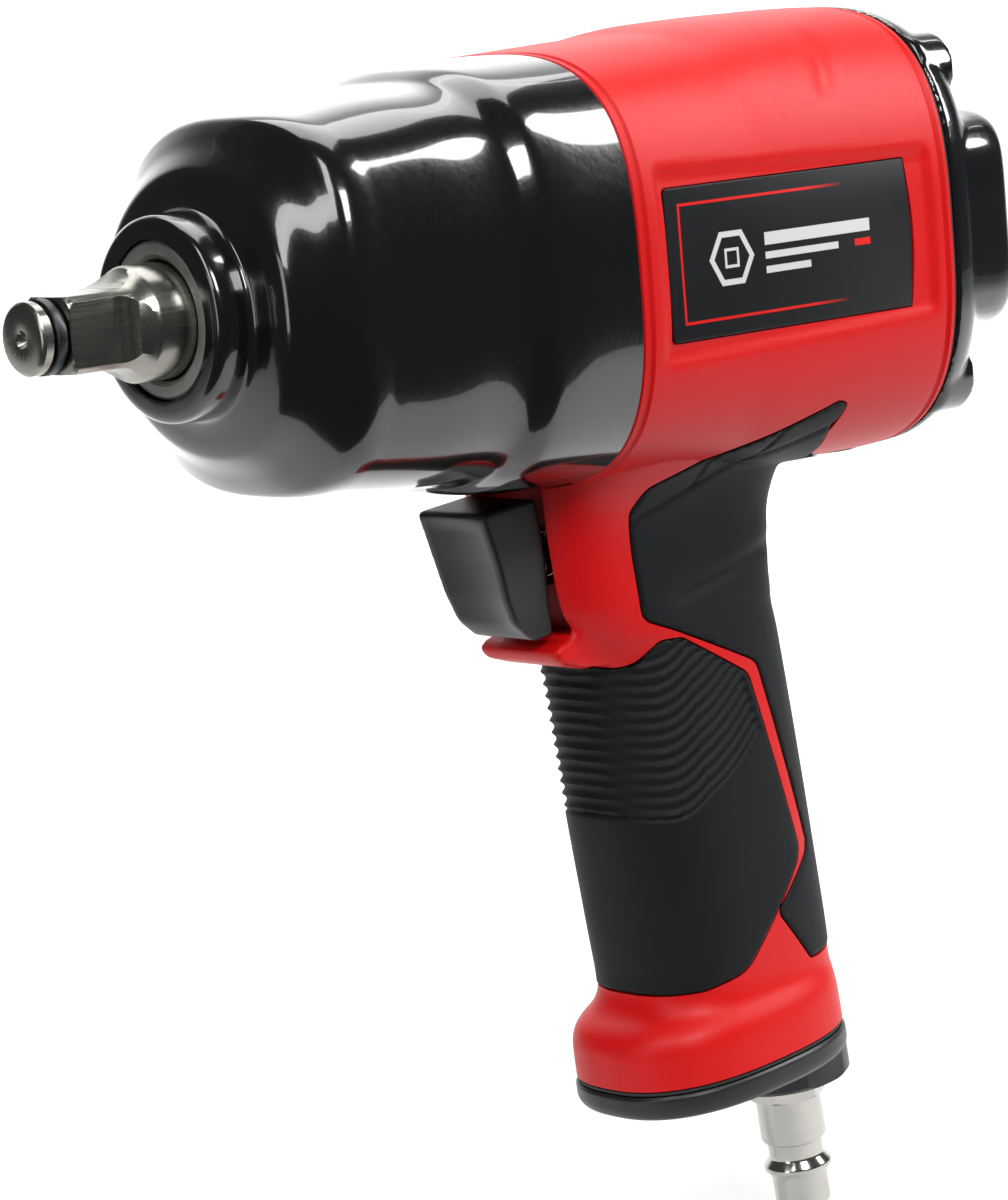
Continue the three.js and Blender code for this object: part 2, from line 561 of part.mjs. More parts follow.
function basePlate() {
  const chamfered = union(
    baseOutline(plate.top, plate.bottom + 2.4, 0),
    column([[plate.bottom, -30.2, 20.4, 18.6, 2.5], [plate.bottom + 2.5, -31.6, 21.8, 20, 2.5]]));
  const slots = [-15.4, -12.4, -9.4, -6.4].map((x) => block([x - 0.8, -6.6, plate.bottom - 1], [x + 0.8, 6.6, plate.top + 1]));
  const holes = baseScrewPlaces.map(([x, y]) => rod('z', [x, y, plate.bottom - 1], 9, 1.7 + gap, 12));
  const seats = baseScrewPlaces.map(([x, y]) => rod('z', [x, y, plate.bottom - 1], 3.2, 3.1 + gap, 16));
  return cut(chamfered, ...slots, ...holes, ...seats, rod('z', [plugX, 0, plate.bottom - 1], 9, 8.4, 24));
}

function baseGasket() {
  const slots = block([-16.4, -6.8, -160], [-5.4, 6.8, -140]);
  const holes = baseScrewPlaces.map(([x, y]) => rod('z', [x, y, -160], 20, 1.7 + gap, 12));
  return cut(baseOutline(handle.baseBottom - gap, plate.top + gap, -0.8), slots, ...holes,
    rod('z', [plugX, 0, -160], 20, 8.4, 24));
}

function baseScrew([x, y]) {
  const head = rod('z', [x, y, plate.bottom + 0.2], 2, 3.1, 16);
  const shank = rod('z', [x, y, plate.bottom + 2.1], 13, 1.7, 8);
  return cut(union(head, shank), rod('z', [x, y, plate.bottom - 1], 2.6, 1.4, 6));
}

function inletCollar() {
  const flange = rod('z', [plugX, 0, plate.bottom - 6.4], 6.1, 12.6, 28);
  const neck = rod('z', [plugX, 0, plate.bottom - 6.3], 18, 8.1, 24);
  return cut(union(flange, neck), rod('z', [plugX, 0, plate.bottom - 8], 30, 5.6, 20));
}

function airPlug() {
  const top = plate.bottom - 6.7;
  const profile = [[0, 6.3], [11.6, 6.3], [12.4, 5.2], [15, 5.2], [16.4, 6.4], [17.4, 6.4], [18.6, 5.4], [24.6, 5.2]];
  const body = turned(profile, 24).rotate([0, 90, 0]);
  const hexagon = rod('z', [0, 0, -3], 3, 7.9, 6);
  const thread = rod('z', [0, 0, -0.1], 9, 5.3, 16);
  const bore = rod('z', [0, 0, -40], 60, 3.6, 16);
  return place(cut(union(body, hexagon, thread), bore), plugX, 0, top);
}

function inletScreen() {
  return cut(rod('z', [plugX, 0, -146], 14, 5, 16), rod('z', [plugX, 0, -147], 12, 4.2, 16));
}

add('base_gasket', baseGasket(), finishes.gasket, handleGroup);
add('base_plate', basePlate(), finishes.blackNylon, handleGroup);
baseScrewPlaces.forEach((spot, i) => add('base_screw_' + (i + 1), baseScrew(spot), finishes.darkSteel, handleGroup));
add('exhaust_muffler', block([-17.3, -7.7, handle.baseBottom + 0.1], [-4.3, 7.7, -112]), finishes.felt, handleGroup);
add('inlet_collar', inletCollar(), finishes.blackNylon, handleGroup);
add('inlet_screen', inletScreen(), finishes.brass, handleGroup);
add('air_plug', airPlug(), finishes.nickel, handleGroup);

export default wrench;
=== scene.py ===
import json
import math

import bmesh
import bpy
from mathutils import Matrix, Vector


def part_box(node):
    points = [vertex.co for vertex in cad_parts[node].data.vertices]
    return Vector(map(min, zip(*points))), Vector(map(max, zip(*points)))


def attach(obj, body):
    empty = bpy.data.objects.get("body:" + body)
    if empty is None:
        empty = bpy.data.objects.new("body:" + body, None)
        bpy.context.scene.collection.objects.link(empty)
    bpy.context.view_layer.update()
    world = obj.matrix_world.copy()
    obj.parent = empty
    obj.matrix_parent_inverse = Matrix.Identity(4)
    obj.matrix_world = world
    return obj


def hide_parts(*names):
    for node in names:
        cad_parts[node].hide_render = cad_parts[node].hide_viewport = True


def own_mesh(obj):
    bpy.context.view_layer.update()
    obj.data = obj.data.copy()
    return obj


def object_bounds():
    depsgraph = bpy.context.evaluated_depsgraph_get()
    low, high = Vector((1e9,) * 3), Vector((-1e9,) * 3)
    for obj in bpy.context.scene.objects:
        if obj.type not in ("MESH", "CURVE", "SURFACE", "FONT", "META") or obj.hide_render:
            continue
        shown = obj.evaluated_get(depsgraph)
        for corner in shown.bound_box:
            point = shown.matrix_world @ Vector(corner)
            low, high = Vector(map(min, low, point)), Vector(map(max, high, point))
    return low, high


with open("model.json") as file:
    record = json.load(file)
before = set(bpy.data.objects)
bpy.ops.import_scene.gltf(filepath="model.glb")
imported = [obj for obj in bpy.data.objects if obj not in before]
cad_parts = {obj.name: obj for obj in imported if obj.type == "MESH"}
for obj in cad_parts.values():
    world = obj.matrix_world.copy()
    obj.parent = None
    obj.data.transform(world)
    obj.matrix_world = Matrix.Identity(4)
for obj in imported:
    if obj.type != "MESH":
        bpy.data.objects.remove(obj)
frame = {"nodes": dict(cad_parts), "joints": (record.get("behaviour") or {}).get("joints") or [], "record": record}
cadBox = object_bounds()

# Pieces are shaped in millimetres and brought to metres when they are finished.
mm = 0.001
record = frame["record"]
mounts = {mount["name"]: mount for mount in record["mounts"]}


def boxOf(node):
    low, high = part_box(node)
    return low / mm, high / mm


# The handle leans back from the drive axis, as the trigger's slide says, and its pieces are shaped upright.
slide = next(joint for joint in frame["joints"] if joint["name"] == "trigger_slide")
rake = math.atan2(slide["axis"][2], slide["axis"][0])
lean = Matrix.Rotation(-rake, 4, "Y")
gripPoint = Vector(mounts["grip"]["pos_m"]) / mm
handlePlace = Matrix.Translation(gripPoint - lean @ Vector((-2, 0, -100))) @ lean
upright = handlePlace.inverted()


# Modelling steps.

def deselectAll():
    if bpy.context.mode != "OBJECT":
        bpy.ops.object.mode_set(mode="OBJECT")
    bpy.ops.object.select_all(action="DESELECT")


def activate(piece):
    deselectAll()
    piece.select_set(True)
    bpy.context.view_layer.objects.active = piece
    return piece


class Editing:
    # Edit mode on one piece, with nothing selected at first.
    def __init__(self, piece, kind="VERT"):
        self.piece = piece
        self.kind = kind

    def __enter__(self):
        activate(self.piece)
        bpy.ops.object.mode_set(mode="EDIT")
        bpy.ops.mesh.select_mode(type=self.kind)
        bpy.ops.mesh.select_all(action="DESELECT")
        return self

    def pick(self, test):
        mesh = bmesh.from_edit_mesh(self.piece.data)
        parts = {"VERT": mesh.verts, "EDGE": mesh.edges, "FACE": mesh.faces}[self.kind]
        for part in parts:
            part.select_set(bool(test(part)))
        mesh.select_flush_mode()
        bmesh.update_edit_mesh(self.piece.data)

    def __exit__(self, *problem):
        bpy.ops.object.mode_set(mode="OBJECT")


def applyModifier(piece, kind, **settings):
    activate(piece)
    modifier = piece.modifiers.new(kind.lower(), kind)
    for key, value in settings.items():
        setattr(modifier, key, value)
    bpy.ops.object.modifier_apply(modifier=modifier.name)
    return piece


def combine(piece, operation, *tools):
    for tool in tools:
        applyModifier(piece, "BOOLEAN", object=tool, operation=operation, solver="MANIFOLD")
        bpy.data.objects.remove(tool)
    return piece


def cut(piece, *tools):
    return combine(piece, "DIFFERENCE", *tools)


def join(piece, *tools):
    return combine(piece, "UNION", *tools)


def moved(piece, matrix):
    piece.data.transform(matrix)
    return piece


def faceOut(piece):
    with Editing(piece, "FACE"):
        bpy.ops.mesh.select_all(action="SELECT")
        bpy.ops.mesh.normals_make_consistent(inside=False)
    return piece


def block(name, low, high):
    deselectAll()
    centre = [(a + b) / 2 for a, b in zip(low, high)]
    bpy.ops.mesh.primitive_cube_add(size=1, location=(0, 0, 0))
    piece = bpy.context.object
    piece.name = name
    size = Matrix.Diagonal([b - a for a, b in zip(low, high)] + [1])
    return moved(piece, Matrix.Translation(centre) @ size)


turnTo = {
    "x": Matrix.Rotation(math.pi / 2, 4, "Y"),
    "y": Matrix.Rotation(-math.pi / 2, 4, "X"),
    "z": Matrix(),
}


def rod(name, axis, start, length, radius, sides=64, tip=None):
    deselectAll()
    bpy.ops.mesh.primitive_cone_add(
        vertices=sides, radius1=radius, radius2=radius if tip is None else tip, depth=length,
        location=(0, 0, 0))
    piece = bpy.context.object
    piece.name = name
    return moved(piece, Matrix.Translation(start) @ turnTo[axis] @ Matrix.Translation((0, 0, length / 2)))


def spun(name, profile, steps=96, ring=False):
    # Turns [along, radius] points about the X axis. A ring's profile closes on itself.
    deselectAll()
    bpy.ops.mesh.primitive_circle_add(vertices=len(profile), radius=1, location=(0, 0, 0))
    piece = bpy.context.object
    piece.name = name
    for vertex, (along, radius) in zip(piece.data.vertices, profile):
        vertex.co = (along, 0, radius)
    last = len(profile) - 1
    with Editing(piece, "EDGE") as edit:
        if not ring:
            edit.pick(lambda edge: {v.index for v in edge.verts} == {0, last})
            bpy.ops.mesh.delete(type="EDGE")
        bpy.ops.mesh.select_all(action="SELECT")
        bpy.ops.mesh.spin(steps=steps, angle=2 * math.pi, center=(0, 0, 0), axis=(1, 0, 0))
        bpy.ops.mesh.select_all(action="SELECT")
        bpy.ops.mesh.remove_doubles(threshold=0.002)
        bpy.ops.mesh.normals_make_consistent(inside=False)
    return piece


def filleted(corners, steps=6):
    # Rounds an outline of [x, z, radius] corners.
    outline = []
    count = len(corners)
    for i, (x, z, radius) in enumerate(corners):
        here = Vector((x, z))
        back = Vector(corners[i - 1][:2]) - here
        ahead = Vector(corners[(i + 1) % count][:2]) - here
        half = back.angle(ahead) / 2
        reach = min(radius / math.tan(half), 0.48 * back.length, 0.48 * ahead.length)
        if reach < 0.01:
            outline.append(here)
            continue
        start = here + back.normalized() * reach
        end = here + ahead.normalized() * reach
        for k in range(steps + 1):
            t = k / steps
            outline.append(start * (1 - t) ** 2 + here * 2 * t * (1 - t) + end * t ** 2)
    return outline


def signedArea(outline):
    return sum(a.x * b.y - b.x * a.y for a, b in zip(outline, outline[1:] + outline[:1]))


def grown(outline, amount):
    # Moves an outline's points outwards.
    if signedArea(outline) < 0:
        outline = outline[::-1]
    shifted = []
    count = len(outline)
    for i, point in enumerate(outline):
        along = (outline[(i + 1) % count] - outline[i - 1]).normalized()
        shifted.append(point + Vector((along.y, -along.x)) * amount)
    return shifted


def sideCut(name, outline, low, high):
    # A plate with an outline of x and z, as thick as from y low to y high.
    points = outline if signedArea(outline) > 0 else outline[::-1]
    deselectAll()
    bpy.ops.mesh.primitive_circle_add(vertices=len(points), radius=1, fill_type="NGON", location=(0, 0, 0))
    piece = bpy.context.object
    piece.name = name
    for vertex, point in zip(piece.data.vertices, points):
        vertex.co = (point.x, low, point.y)
    with Editing(piece, "FACE"):
        bpy.ops.mesh.select_all(action="SELECT")
        bpy.ops.mesh.extrude_region_move(TRANSFORM_OT_translate={"value": (0, high - low, 0)})
    return faceOut(piece)


def soft(value, start, end):
    t = min(max((value - start) / (end - start), 0), 1)
    return t * t * (3 - 2 * t)


def smoothRows(rows, spacing):
    # A smooth run of rows through the given ones, without overshoot.
    stations = [0]
    for a, b in zip(rows, rows[1:]):
        stations.append(stations[-1] + math.dist(a[:3], b[:3]))
    columns = []
    for column in zip(*rows):
        steps = [(b - a) / (t - s) for a, b, s, t in zip(column, column[1:], stations, stations[1:])]
        slopes = [steps[0]]
        for a, b in zip(steps, steps[1:]):
            slopes.append(0 if a * b <= 0 else 2 * a * b / (a + b))
        columns.append((column, slopes + [steps[-1]]))
    count = min(math.ceil(stations[-1] / spacing), 101)
    made = []
    k = 0
    for i in range(count + 1):
        at = stations[-1] * i / count
        while k < len(stations) - 2 and at > stations[k + 1]:
            k += 1
        h = stations[k + 1] - stations[k]
        t = (at - stations[k]) / h
        made.append([
            column[k] * (1 + 2 * t) * (1 - t) ** 2 + slopes[k] * h * t * (1 - t) ** 2
            + column[k + 1] * t * t * (3 - 2 * t) + slopes[k + 1] * h * t * t * (t - 1)
            for column, slopes in columns])
    return made


def column(name, rows, spacing, around, change=None):
    # A cylinder whose rings are pulled to oval sections. A row is the height, the low and high edge on
    # the first cross axis, the low and high edge on the second, and the squareness.
    table = smoothRows(rows, spacing)
    last = len(table) - 1
    deselectAll()
    bpy.ops.mesh.primitive_cylinder_add(vertices=around, radius=1, depth=1, location=(0, 0, 0))
    piece = bpy.context.object
    piece.name = name
    with Editing(piece, "EDGE") as edit:
        edit.pick(lambda edge: abs(edge.verts[0].co.z - edge.verts[1].co.z) > 0.5)
        bpy.ops.mesh.subdivide(number_cuts=last - 1)
    for vertex in piece.data.vertices:
        height, lowA, highA, lowB, highB, squareness = table[round((vertex.co.z + 0.5) * last)]
        angle = math.atan2(vertex.co.y, vertex.co.x)
        a, b = math.cos(angle), math.sin(angle)
        halfA, halfB = (highA - lowA) / 2, (highB - lowB) / 2
        reach = (abs(a / halfA) ** squareness + abs(b / halfB) ** squareness) ** (-1 / squareness)
        point = Vector(((lowA + highA) / 2 + reach * a, (lowB + highB) / 2 + reach * b, height))
        vertex.co = change(point, angle) if change else point
    return faceOut(piece)


alongDrive = Matrix(((0, 0, 1, 0), (1, 0, 0, 0), (0, 1, 0, 0), (0, 0, 0, 1)))


def casing(name, rows, spacing, around, grow=0, change=None):
    # A column laid along the drive axis, from rows of station, half width, half height and squareness.
    full = [(x, -y - grow, y + grow, -z - grow, z + grow, p) for x, y, z, p in rows]
    return moved(column(name, full, spacing, around, change), alongDrive)


def remeshed(piece, voxel, rounds):
    applyModifier(piece, "REMESH", mode="VOXEL", voxel_size=voxel)
    return applyModifier(piece, "SMOOTH", factor=0.5, iterations=rounds)


def bevelled(piece, width, segments=3, angle=35):
    return applyModifier(
        piece, "BEVEL", width=width, segments=segments, limit_method="ANGLE",
        angle_limit=math.radians(angle), use_clamp_overlap=True, harden_normals=False)


def finishPiece(piece, material, slotName, body, *nodes, smooth=35, place=None):
    if place is not None:
        moved(piece, place)
    moved(piece, Matrix.Scale(mm, 4))
    activate(piece)
    bpy.ops.object.shade_smooth_by_angle(angle=math.radians(smooth))
    piece.data.materials.clear()
    piece.data.materials.append(material)
    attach(piece, body)
    if nodes:
        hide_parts(*nodes)
    return piece


# Finishes.

class Wire:
    # A socket's value in a sum.
    def __init__(self, tree, socket):
        self.tree = tree
        self.socket = socket

    def feed(self, target):
        self.tree.links.new(self.socket, target)

    def maths(self, operation, *values, clamp=False):
        node = self.tree.nodes.new("ShaderNodeMath")
        node.operation = operation
        node.use_clamp = clamp
        for target, value in zip(node.inputs, values):
            if isinstance(value, Wire):
                value.feed(target)
            else:
                target.default_value = value
        return Wire(self.tree, node.outputs[0])

    def __add__(self, other):
        return self.maths("ADD", self, other)

    def __radd__(self, other):
        return self.maths("ADD", other, self)

    def __sub__(self, other):
        return self.maths("SUBTRACT", self, other)

    def __rsub__(self, other):
        return self.maths("SUBTRACT", other, self)

    def __mul__(self, other):
        return self.maths("MULTIPLY", self, other)

    def __rmul__(self, other):
        return self.maths("MULTIPLY", other, self)

    def __truediv__(self, other):
        return self.maths("DIVIDE", self, other)

    def __abs__(self):
        return self.maths("ABSOLUTE", self)

    def clamped(self):
        return self.maths("ADD", self, 0, clamp=True)

    def larger(self, other):
        return self.maths("MAXIMUM", self, other)


class Finish:
    # A material under way: constants go on the shader, and what varies is linked to it.
    def __init__(self, name, **constants):
        self.material = bpy.data.materials.new(name)
        self.material.use_nodes = True
        self.tree = self.material.node_tree
        self.tree.nodes.clear()
        output = self.tree.nodes.new("ShaderNodeOutputMaterial")
        self.shader = self.tree.nodes.new("ShaderNodeBsdfPrincipled")
        self.tree.links.new(self.shader.outputs[0], output.inputs[0])
        for key, value in constants.items():
            self.shader.inputs[key.replace("_", " ")].default_value = value
        self.place = self.node("ShaderNodeTexCoord", output="Object")

    def node(self, kind, settings=None, inputs=None, output=0):
        node = self.tree.nodes.new(kind)
        for key, value in (settings or {}).items():
            setattr(node, key, value)
        for key, value in (inputs or {}).items():
            if isinstance(value, Wire):
                value.feed(node.inputs[key])
            else:
                node.inputs[key].default_value = value
        return Wire(self.tree, node.outputs[output])

    def noise(self, scale, detail=2, roughness=0.5, stretch=None, distortion=0):
        vector = self.place
        if stretch:
            vector = self.node("ShaderNodeMapping", inputs={"Vector": vector, "Scale": stretch})
        return self.node("ShaderNodeTexNoise", inputs={
            "Vector": vector, "Scale": scale, "Detail": detail, "Roughness": roughness,
            "Distortion": distortion})

    def cells(self, scale, feature="F1"):
        return self.node(
            "ShaderNodeTexVoronoi", {"feature": feature}, {"Vector": self.place, "Scale": scale})

    def mix(self, share, first, second):
        return self.node("ShaderNodeMix", {"data_type": "RGBA"}, {0: share, 6: first, 7: second}, output=2)

    def axes(self):
        apart = self.tree.nodes.new("ShaderNodeSeparateXYZ")
        self.place.feed(apart.inputs[0])
        return [Wire(self.tree, out) / mm for out in apart.outputs]

    def show(self, **wires):
        for key, wire in wires.items():
            wire.feed(self.shader.inputs[key.replace("_", " ")])
        return self

    def bump(self, height, strength, distance):
        normal = self.node("ShaderNodeBump", inputs={
            "Height": height, "Strength": strength, "Distance": distance})
        return self.show(Normal=normal)


def rgb(red, green, blue):
    return (red, green, blue, 1)


def redNylon():
    finish = Finish("red nylon", Specular_IOR_Level=0.3)
    cloud = finish.noise(35, 3)
    grain = finish.noise(1500, 3, 0.7)
    finish.show(Base_Color=finish.mix(cloud, rgb(0.56, 0.001, 0.002), rgb(0.64, 0.002, 0.003)))
    finish.show(Roughness=0.36 + 0.12 * grain + 0.06 * cloud)
    return finish.bump(grain, 0.35, 0.00006).material


def blackPaint():
    finish = Finish("gloss black paint", Specular_IOR_Level=0.5, Coat_Weight=1, Coat_Roughness=0.04)
    cloud = finish.noise(30, 2)
    peel = finish.noise(700, 2, 0.5)
    leather = finish.cells(950)
    finish.show(Base_Color=finish.mix(cloud, rgb(0.0022, 0.0026, 0.003), rgb(0.004, 0.0045, 0.0055)))
    finish.show(Roughness=0.13 + 0.08 * peel)
    return finish.bump(0.6 * peel + 0.4 * leather, 0.22, 0.00008).material


def rubber():
    finish = Finish("moulded rubber", Specular_IOR_Level=0.2)
    cloud = finish.noise(60, 4, 0.6)
    grain = finish.noise(2200, 2, 0.6)
    finish.show(Base_Color=finish.mix(cloud, rgb(0.0036, 0.0044, 0.0052), rgb(0.0065, 0.0075, 0.009)))
    finish.show(Roughness=0.46 + 0.16 * cloud + 0.1 * grain)
    return finish.bump(grain, 0.3, 0.00005).material


def blackNylon():
    finish = Finish("black nylon", Specular_IOR_Level=0.5)
    cloud = finish.noise(90, 3)
    grain = finish.noise(1800, 2, 0.6)
    finish.show(Base_Color=finish.mix(cloud, rgb(0.004, 0.0046, 0.0052), rgb(0.008, 0.009, 0.0105)))
    finish.show(Roughness=0.28 + 0.12 * cloud + 0.08 * grain)
    return finish.bump(grain, 0.22, 0.00004).material


labelPlate = {
    "left": 109,
    "right": 168.4,
    "halfHeight": 13.2,
    "recessFloor": 35.6,
    "recessGap": 0.25,
    "film": (35.7, 36.35),
    "bracketInset": 3.2,
    "line": 0.28,
    "fadeFrom": 143,
    "fadeTo": 152,
    "emblemAt": 124,
}


def labelFilm():
    # Black film with a thin red bracket that fades out, and a plain socket emblem with bars.
    finish = Finish("printed label film", Specular_IOR_Level=0.3)
    x, _, z = finish.axes()
    edge = 12  # how sharply a printed edge turns, per millimetre

    def inside(value, low, high):
        return ((value - low) * edge).clamped() * ((high - value) * edge).clamped()

    left = labelPlate["left"] + labelPlate["bracketInset"]
    height = labelPlate["halfHeight"] - 3
    line = labelPlate["line"]
    fade = ((labelPlate["fadeTo"] - x) / (labelPlate["fadeTo"] - labelPlate["fadeFrom"])).clamped()
    sideLine = inside(x, left - line, left + line) * inside(abs(z), -1, height + line)
    level = inside(abs(z), height - line, height + line) * inside(x, left - line, 400) * fade
    bracket = sideLine.larger(level)
    # The emblem: a hexagon ring round a square hole.
    u, v = abs(x - labelPlate["emblemAt"]), abs(z)
    hexagon = (u * 0.866 + v * 0.5).larger(v)
    ring = inside(hexagon, 3.6, 4.7)
    hole = inside(u.larger(v), 1.15, 1.75)
    bars = inside(x, 132, 158) * inside(z, 1.3, 3.6)
    short = inside(x, 132, 150) * inside(z, -1.1, 0.2)
    shorter = inside(x, 132, 143) * inside(z, -3.6, -2.3)
    pale = ring.larger(hole).larger(bars).larger(short).larger(shorter)
    dot = inside(x, 154, 158) * inside(z, -1.1, 0.2)
    grain = finish.noise(1200, 2)
    cloud = finish.noise(70, 2)
    base = finish.mix(cloud, rgb(0.0035, 0.0045, 0.006), rgb(0.006, 0.0072, 0.009))
    withLine = finish.mix(bracket.larger(dot), base, rgb(0.72, 0.008, 0.006))
    finish.show(Base_Color=finish.mix(pale, withLine, rgb(0.62, 0.63, 0.64)), Roughness=0.4 + 0.1 * grain)
    return finish.bump(grain, 0.12, 0.00003).material


def steel(name, dark, light, rough, stretch, lines=0.25, spots=0):
    finish = Finish(name, Metallic=1, IOR=2.5)
    brush = finish.noise(1, 3, 0.6, stretch=stretch)
    cloud = finish.noise(160, 4, 0.65)
    pits = finish.noise(1400, 2, 0.7)
    tone = (0.6 * brush + 0.4 * cloud).clamped()
    finish.show(Base_Color=finish.mix(tone, rgb(*dark), rgb(*light)))
    finish.show(Roughness=(rough - 0.08) + 0.16 * brush + spots * pits)
    return finish.bump(brush + spots * pits, lines, 0.00003).material


def dull(name, dark, light, rough, scale, depth=0.4):
    finish = Finish(name, Specular_IOR_Level=0.4)
    cloud = finish.noise(scale, 5, 0.7)
    grain = finish.noise(scale * 6, 2, 0.6)
    finish.show(Base_Color=finish.mix(cloud, rgb(*dark), rgb(*light)), Roughness=rough + 0.12 * grain)
    return finish.bump(0.5 * cloud + 0.5 * grain, depth, 0.00008).material


finishes = {
    "red_nylon": redNylon(),
    "black_paint": blackPaint(),
    "rubber": rubber(),
    "black_nylon": blackNylon(),
    "label": labelFilm(),
    "ground_steel": steel("ground steel", (0.20, 0.195, 0.175), (0.48, 0.47, 0.42), 0.24, (90, 3500, 3500)),
    "dark_steel": steel(
        "blackened steel", (0.035, 0.035, 0.037), (0.10, 0.10, 0.10), 0.38, (900, 900, 900)),
    "bush_steel": steel(
        "sintered bush steel", (0.20, 0.205, 0.19), (0.42, 0.43, 0.40), 0.42, (700, 700, 700), 0.3, 0.3),
    "nickel": steel("nickel plate", (0.44, 0.43, 0.40), (0.60, 0.59, 0.55), 0.15, (120, 120, 2500), 0.08),
    "cast_iron": steel(
        "machined iron", (0.12, 0.12, 0.12), (0.26, 0.26, 0.27), 0.45, (600, 600, 600), 0.35, 0.2),
    "brass": steel("turned brass", (0.45, 0.30, 0.09), (0.62, 0.45, 0.17), 0.3, (500, 500, 3000)),
    "vane": dull("bonded fibre vane", (0.12, 0.062, 0.028), (0.24, 0.14, 0.07), 0.62, 220),
    "gasket": dull("gasket sheet", (0.012, 0.013, 0.014), (0.03, 0.031, 0.03), 0.6, 400),
    "felt": dull("pressed felt", (0.2, 0.19, 0.17), (0.36, 0.35, 0.32), 0.85, 600, 0.8),
}
print("finishes made")

slotOf = {row["node"]: row["material_slot"] for row in record["subparts"]}
for name, node in frame["nodes"].items():
    node.data.materials.clear()
    node.data.materials.append(finishes[slotOf[name]])


# Hammer case.

hammerCase = {
    "rows": [
        (26.9, 15.4, 15.4, 2), (27.1, 16.6, 16.6, 2), (27.9, 17.3, 17.3, 2), (30.2, 17.5, 17.5, 2),
        (33.2, 17.7, 17.7, 2), (33.9, 19.6, 19.4, 2), (34.5, 23, 22.4, 2.05), (35.1, 25, 24.2, 2.1),
        (36.2, 26.2, 25.3, 2.15), (39.6, 28.8, 28, 2.25), (42.8, 31.2, 30.6, 2.45),
        (44.6, 32.3, 31.8, 2.65), (47, 32.6, 32.3, 2.85), (50, 32.6, 32.4, 2.95),
        (53, 32.8, 32.6, 2.95), (66, 33.8, 33.8, 2.95), (75, 34.3, 34.3, 2.95),
        (78.6, 34.8, 34.9, 2.95), (81, 35.8, 36, 3), (83.4, 36.6, 36.9, 3), (90, 37, 37.4, 3),
        (101.5, 37.15, 37.85, 3),
    ],
    "shoulderBack": 1.8,
    "inside": [
        (20, 0), (20, 13.5), (42.2, 13.5), (42.2, 25.4), (45.2, 28.4), (93.5, 28.4), (93.5, 30.1),
        (103, 30.1), (103, 0),
    ],
}


def shoulderShift(point, angle):
    # The case's shoulder lies further back above and below the bush than at the sides.
    x = point.z
    share = soft(x, 28, 36) * (1 - soft(x, 36.5, 46))
    return Vector((point.x, point.y, x + hammerCase["shoulderBack"] * share * math.sin(angle) ** 2))


case = casing("hammerCase", hammerCase["rows"], 0.75, 160, change=shoulderShift)
cut(case, spun("caseCavity", hammerCase["inside"]))
finishPiece(case, finishes["black_paint"], "black_paint", "housing", "hammer_case", smooth=40)
print("hammer case made")

# Square drive.

drive = {
    "profile": [
        (0, 0), (0, 5.3), (0.25, 5.75), (0.7, 6.1), (2.1, 6.1), (2.3, 5.95), (2.4, 4.85), (5.15, 4.85),
        (5.25, 6.9), (5.5, 7.7), (6.2, 8.3), (14, 8.35), (18.4, 8.5), (20.2, 9.2), (20.9, 9.55),
        (21.4, 9.75), (42.6, 9.75), (42.6, 12.4), (42.8, 12.6), (45, 12.6), (45.2, 12.4), (45.2, 9.75),
        (50.6, 9.75), (50.6, 9.2), (81, 9.2), (81, 5.6), (85.5, 5.6), (86, 5.2), (86, 0),
    ],
    "half": 6.35,
    "cutterRadius": 7,
    "flatEnd": 14.8,
    "lobes": ((51.2, 0), (66.2, math.pi)),
}


def flatCutter(turn):
    half, radius, end = drive["half"], drive["cutterRadius"], drive["flatEnd"]
    tool = block("flatCutter", (-2, -14, half), (end, 14, half + 8))
    join(tool, rod("cutterWheel", "y", (end, -13, half + radius), 26, radius, 96))
    return moved(tool, Matrix.Rotation(turn, 4, "X"))


def lobe(x, turn):
    # A striking lobe: a quarter ring cut down to a wedge.
    piece = spun("lobe", [(x, 8), (x, 14), (x + 13.4, 14), (x + 13.4, 8)], ring=True)
    wedge = block("lobeWedge", (x - 1, 0, -3.9), (x + 15, 20, 3.9))
    combine(piece, "INTERSECT", wedge)
    return moved(piece, Matrix.Rotation(turn, 4, "X"))


anvil = spun("anvil", drive["profile"], 128)
for quarter in range(4):
    cut(anvil, flatCutter(quarter * math.pi / 2))
cut(anvil, rod("centreDrill", "x", (-0.5, 0, 0), 2.6, 1.75, 48, tip=0.5))
join(anvil, *(lobe(station, turn) for station, turn in drive["lobes"]))
bevelled(anvil, 0.18, 2, 38)
finishPiece(anvil, finishes["ground_steel"], "ground_steel", "anvil", "anvil", smooth=30)

ringProfile = [(2.75, 5.15), (4.75, 5.15), (4.85, 5.6), (4.7, 6.25), (3.9, 6.4), (3, 6.3), (2.7, 5.7)]
socketRing = spun("socketRing", ringProfile, 96, ring=True)
cut(socketRing, block("ringSplit", (2, -0.5, 3), (6, 0.5, 8)))
finishPiece(socketRing, finishes["dark_steel"], "dark_steel", "anvil", "retaining_ring")

bushProfile = [
    (27.6, 10.75), (28.1, 10.2), (41.5, 10.2), (41.5, 13.3), (27.9, 13.3), (27.5, 12.9), (27.4, 12.6),
    (27.4, 11)]
bush = spun("anvilBush", bushProfile, 128, ring=True)
finishPiece(bush, finishes["bush_steel"], "bush_steel", "housing", "anvil_bush")
print("drive made")

# Motor housing.

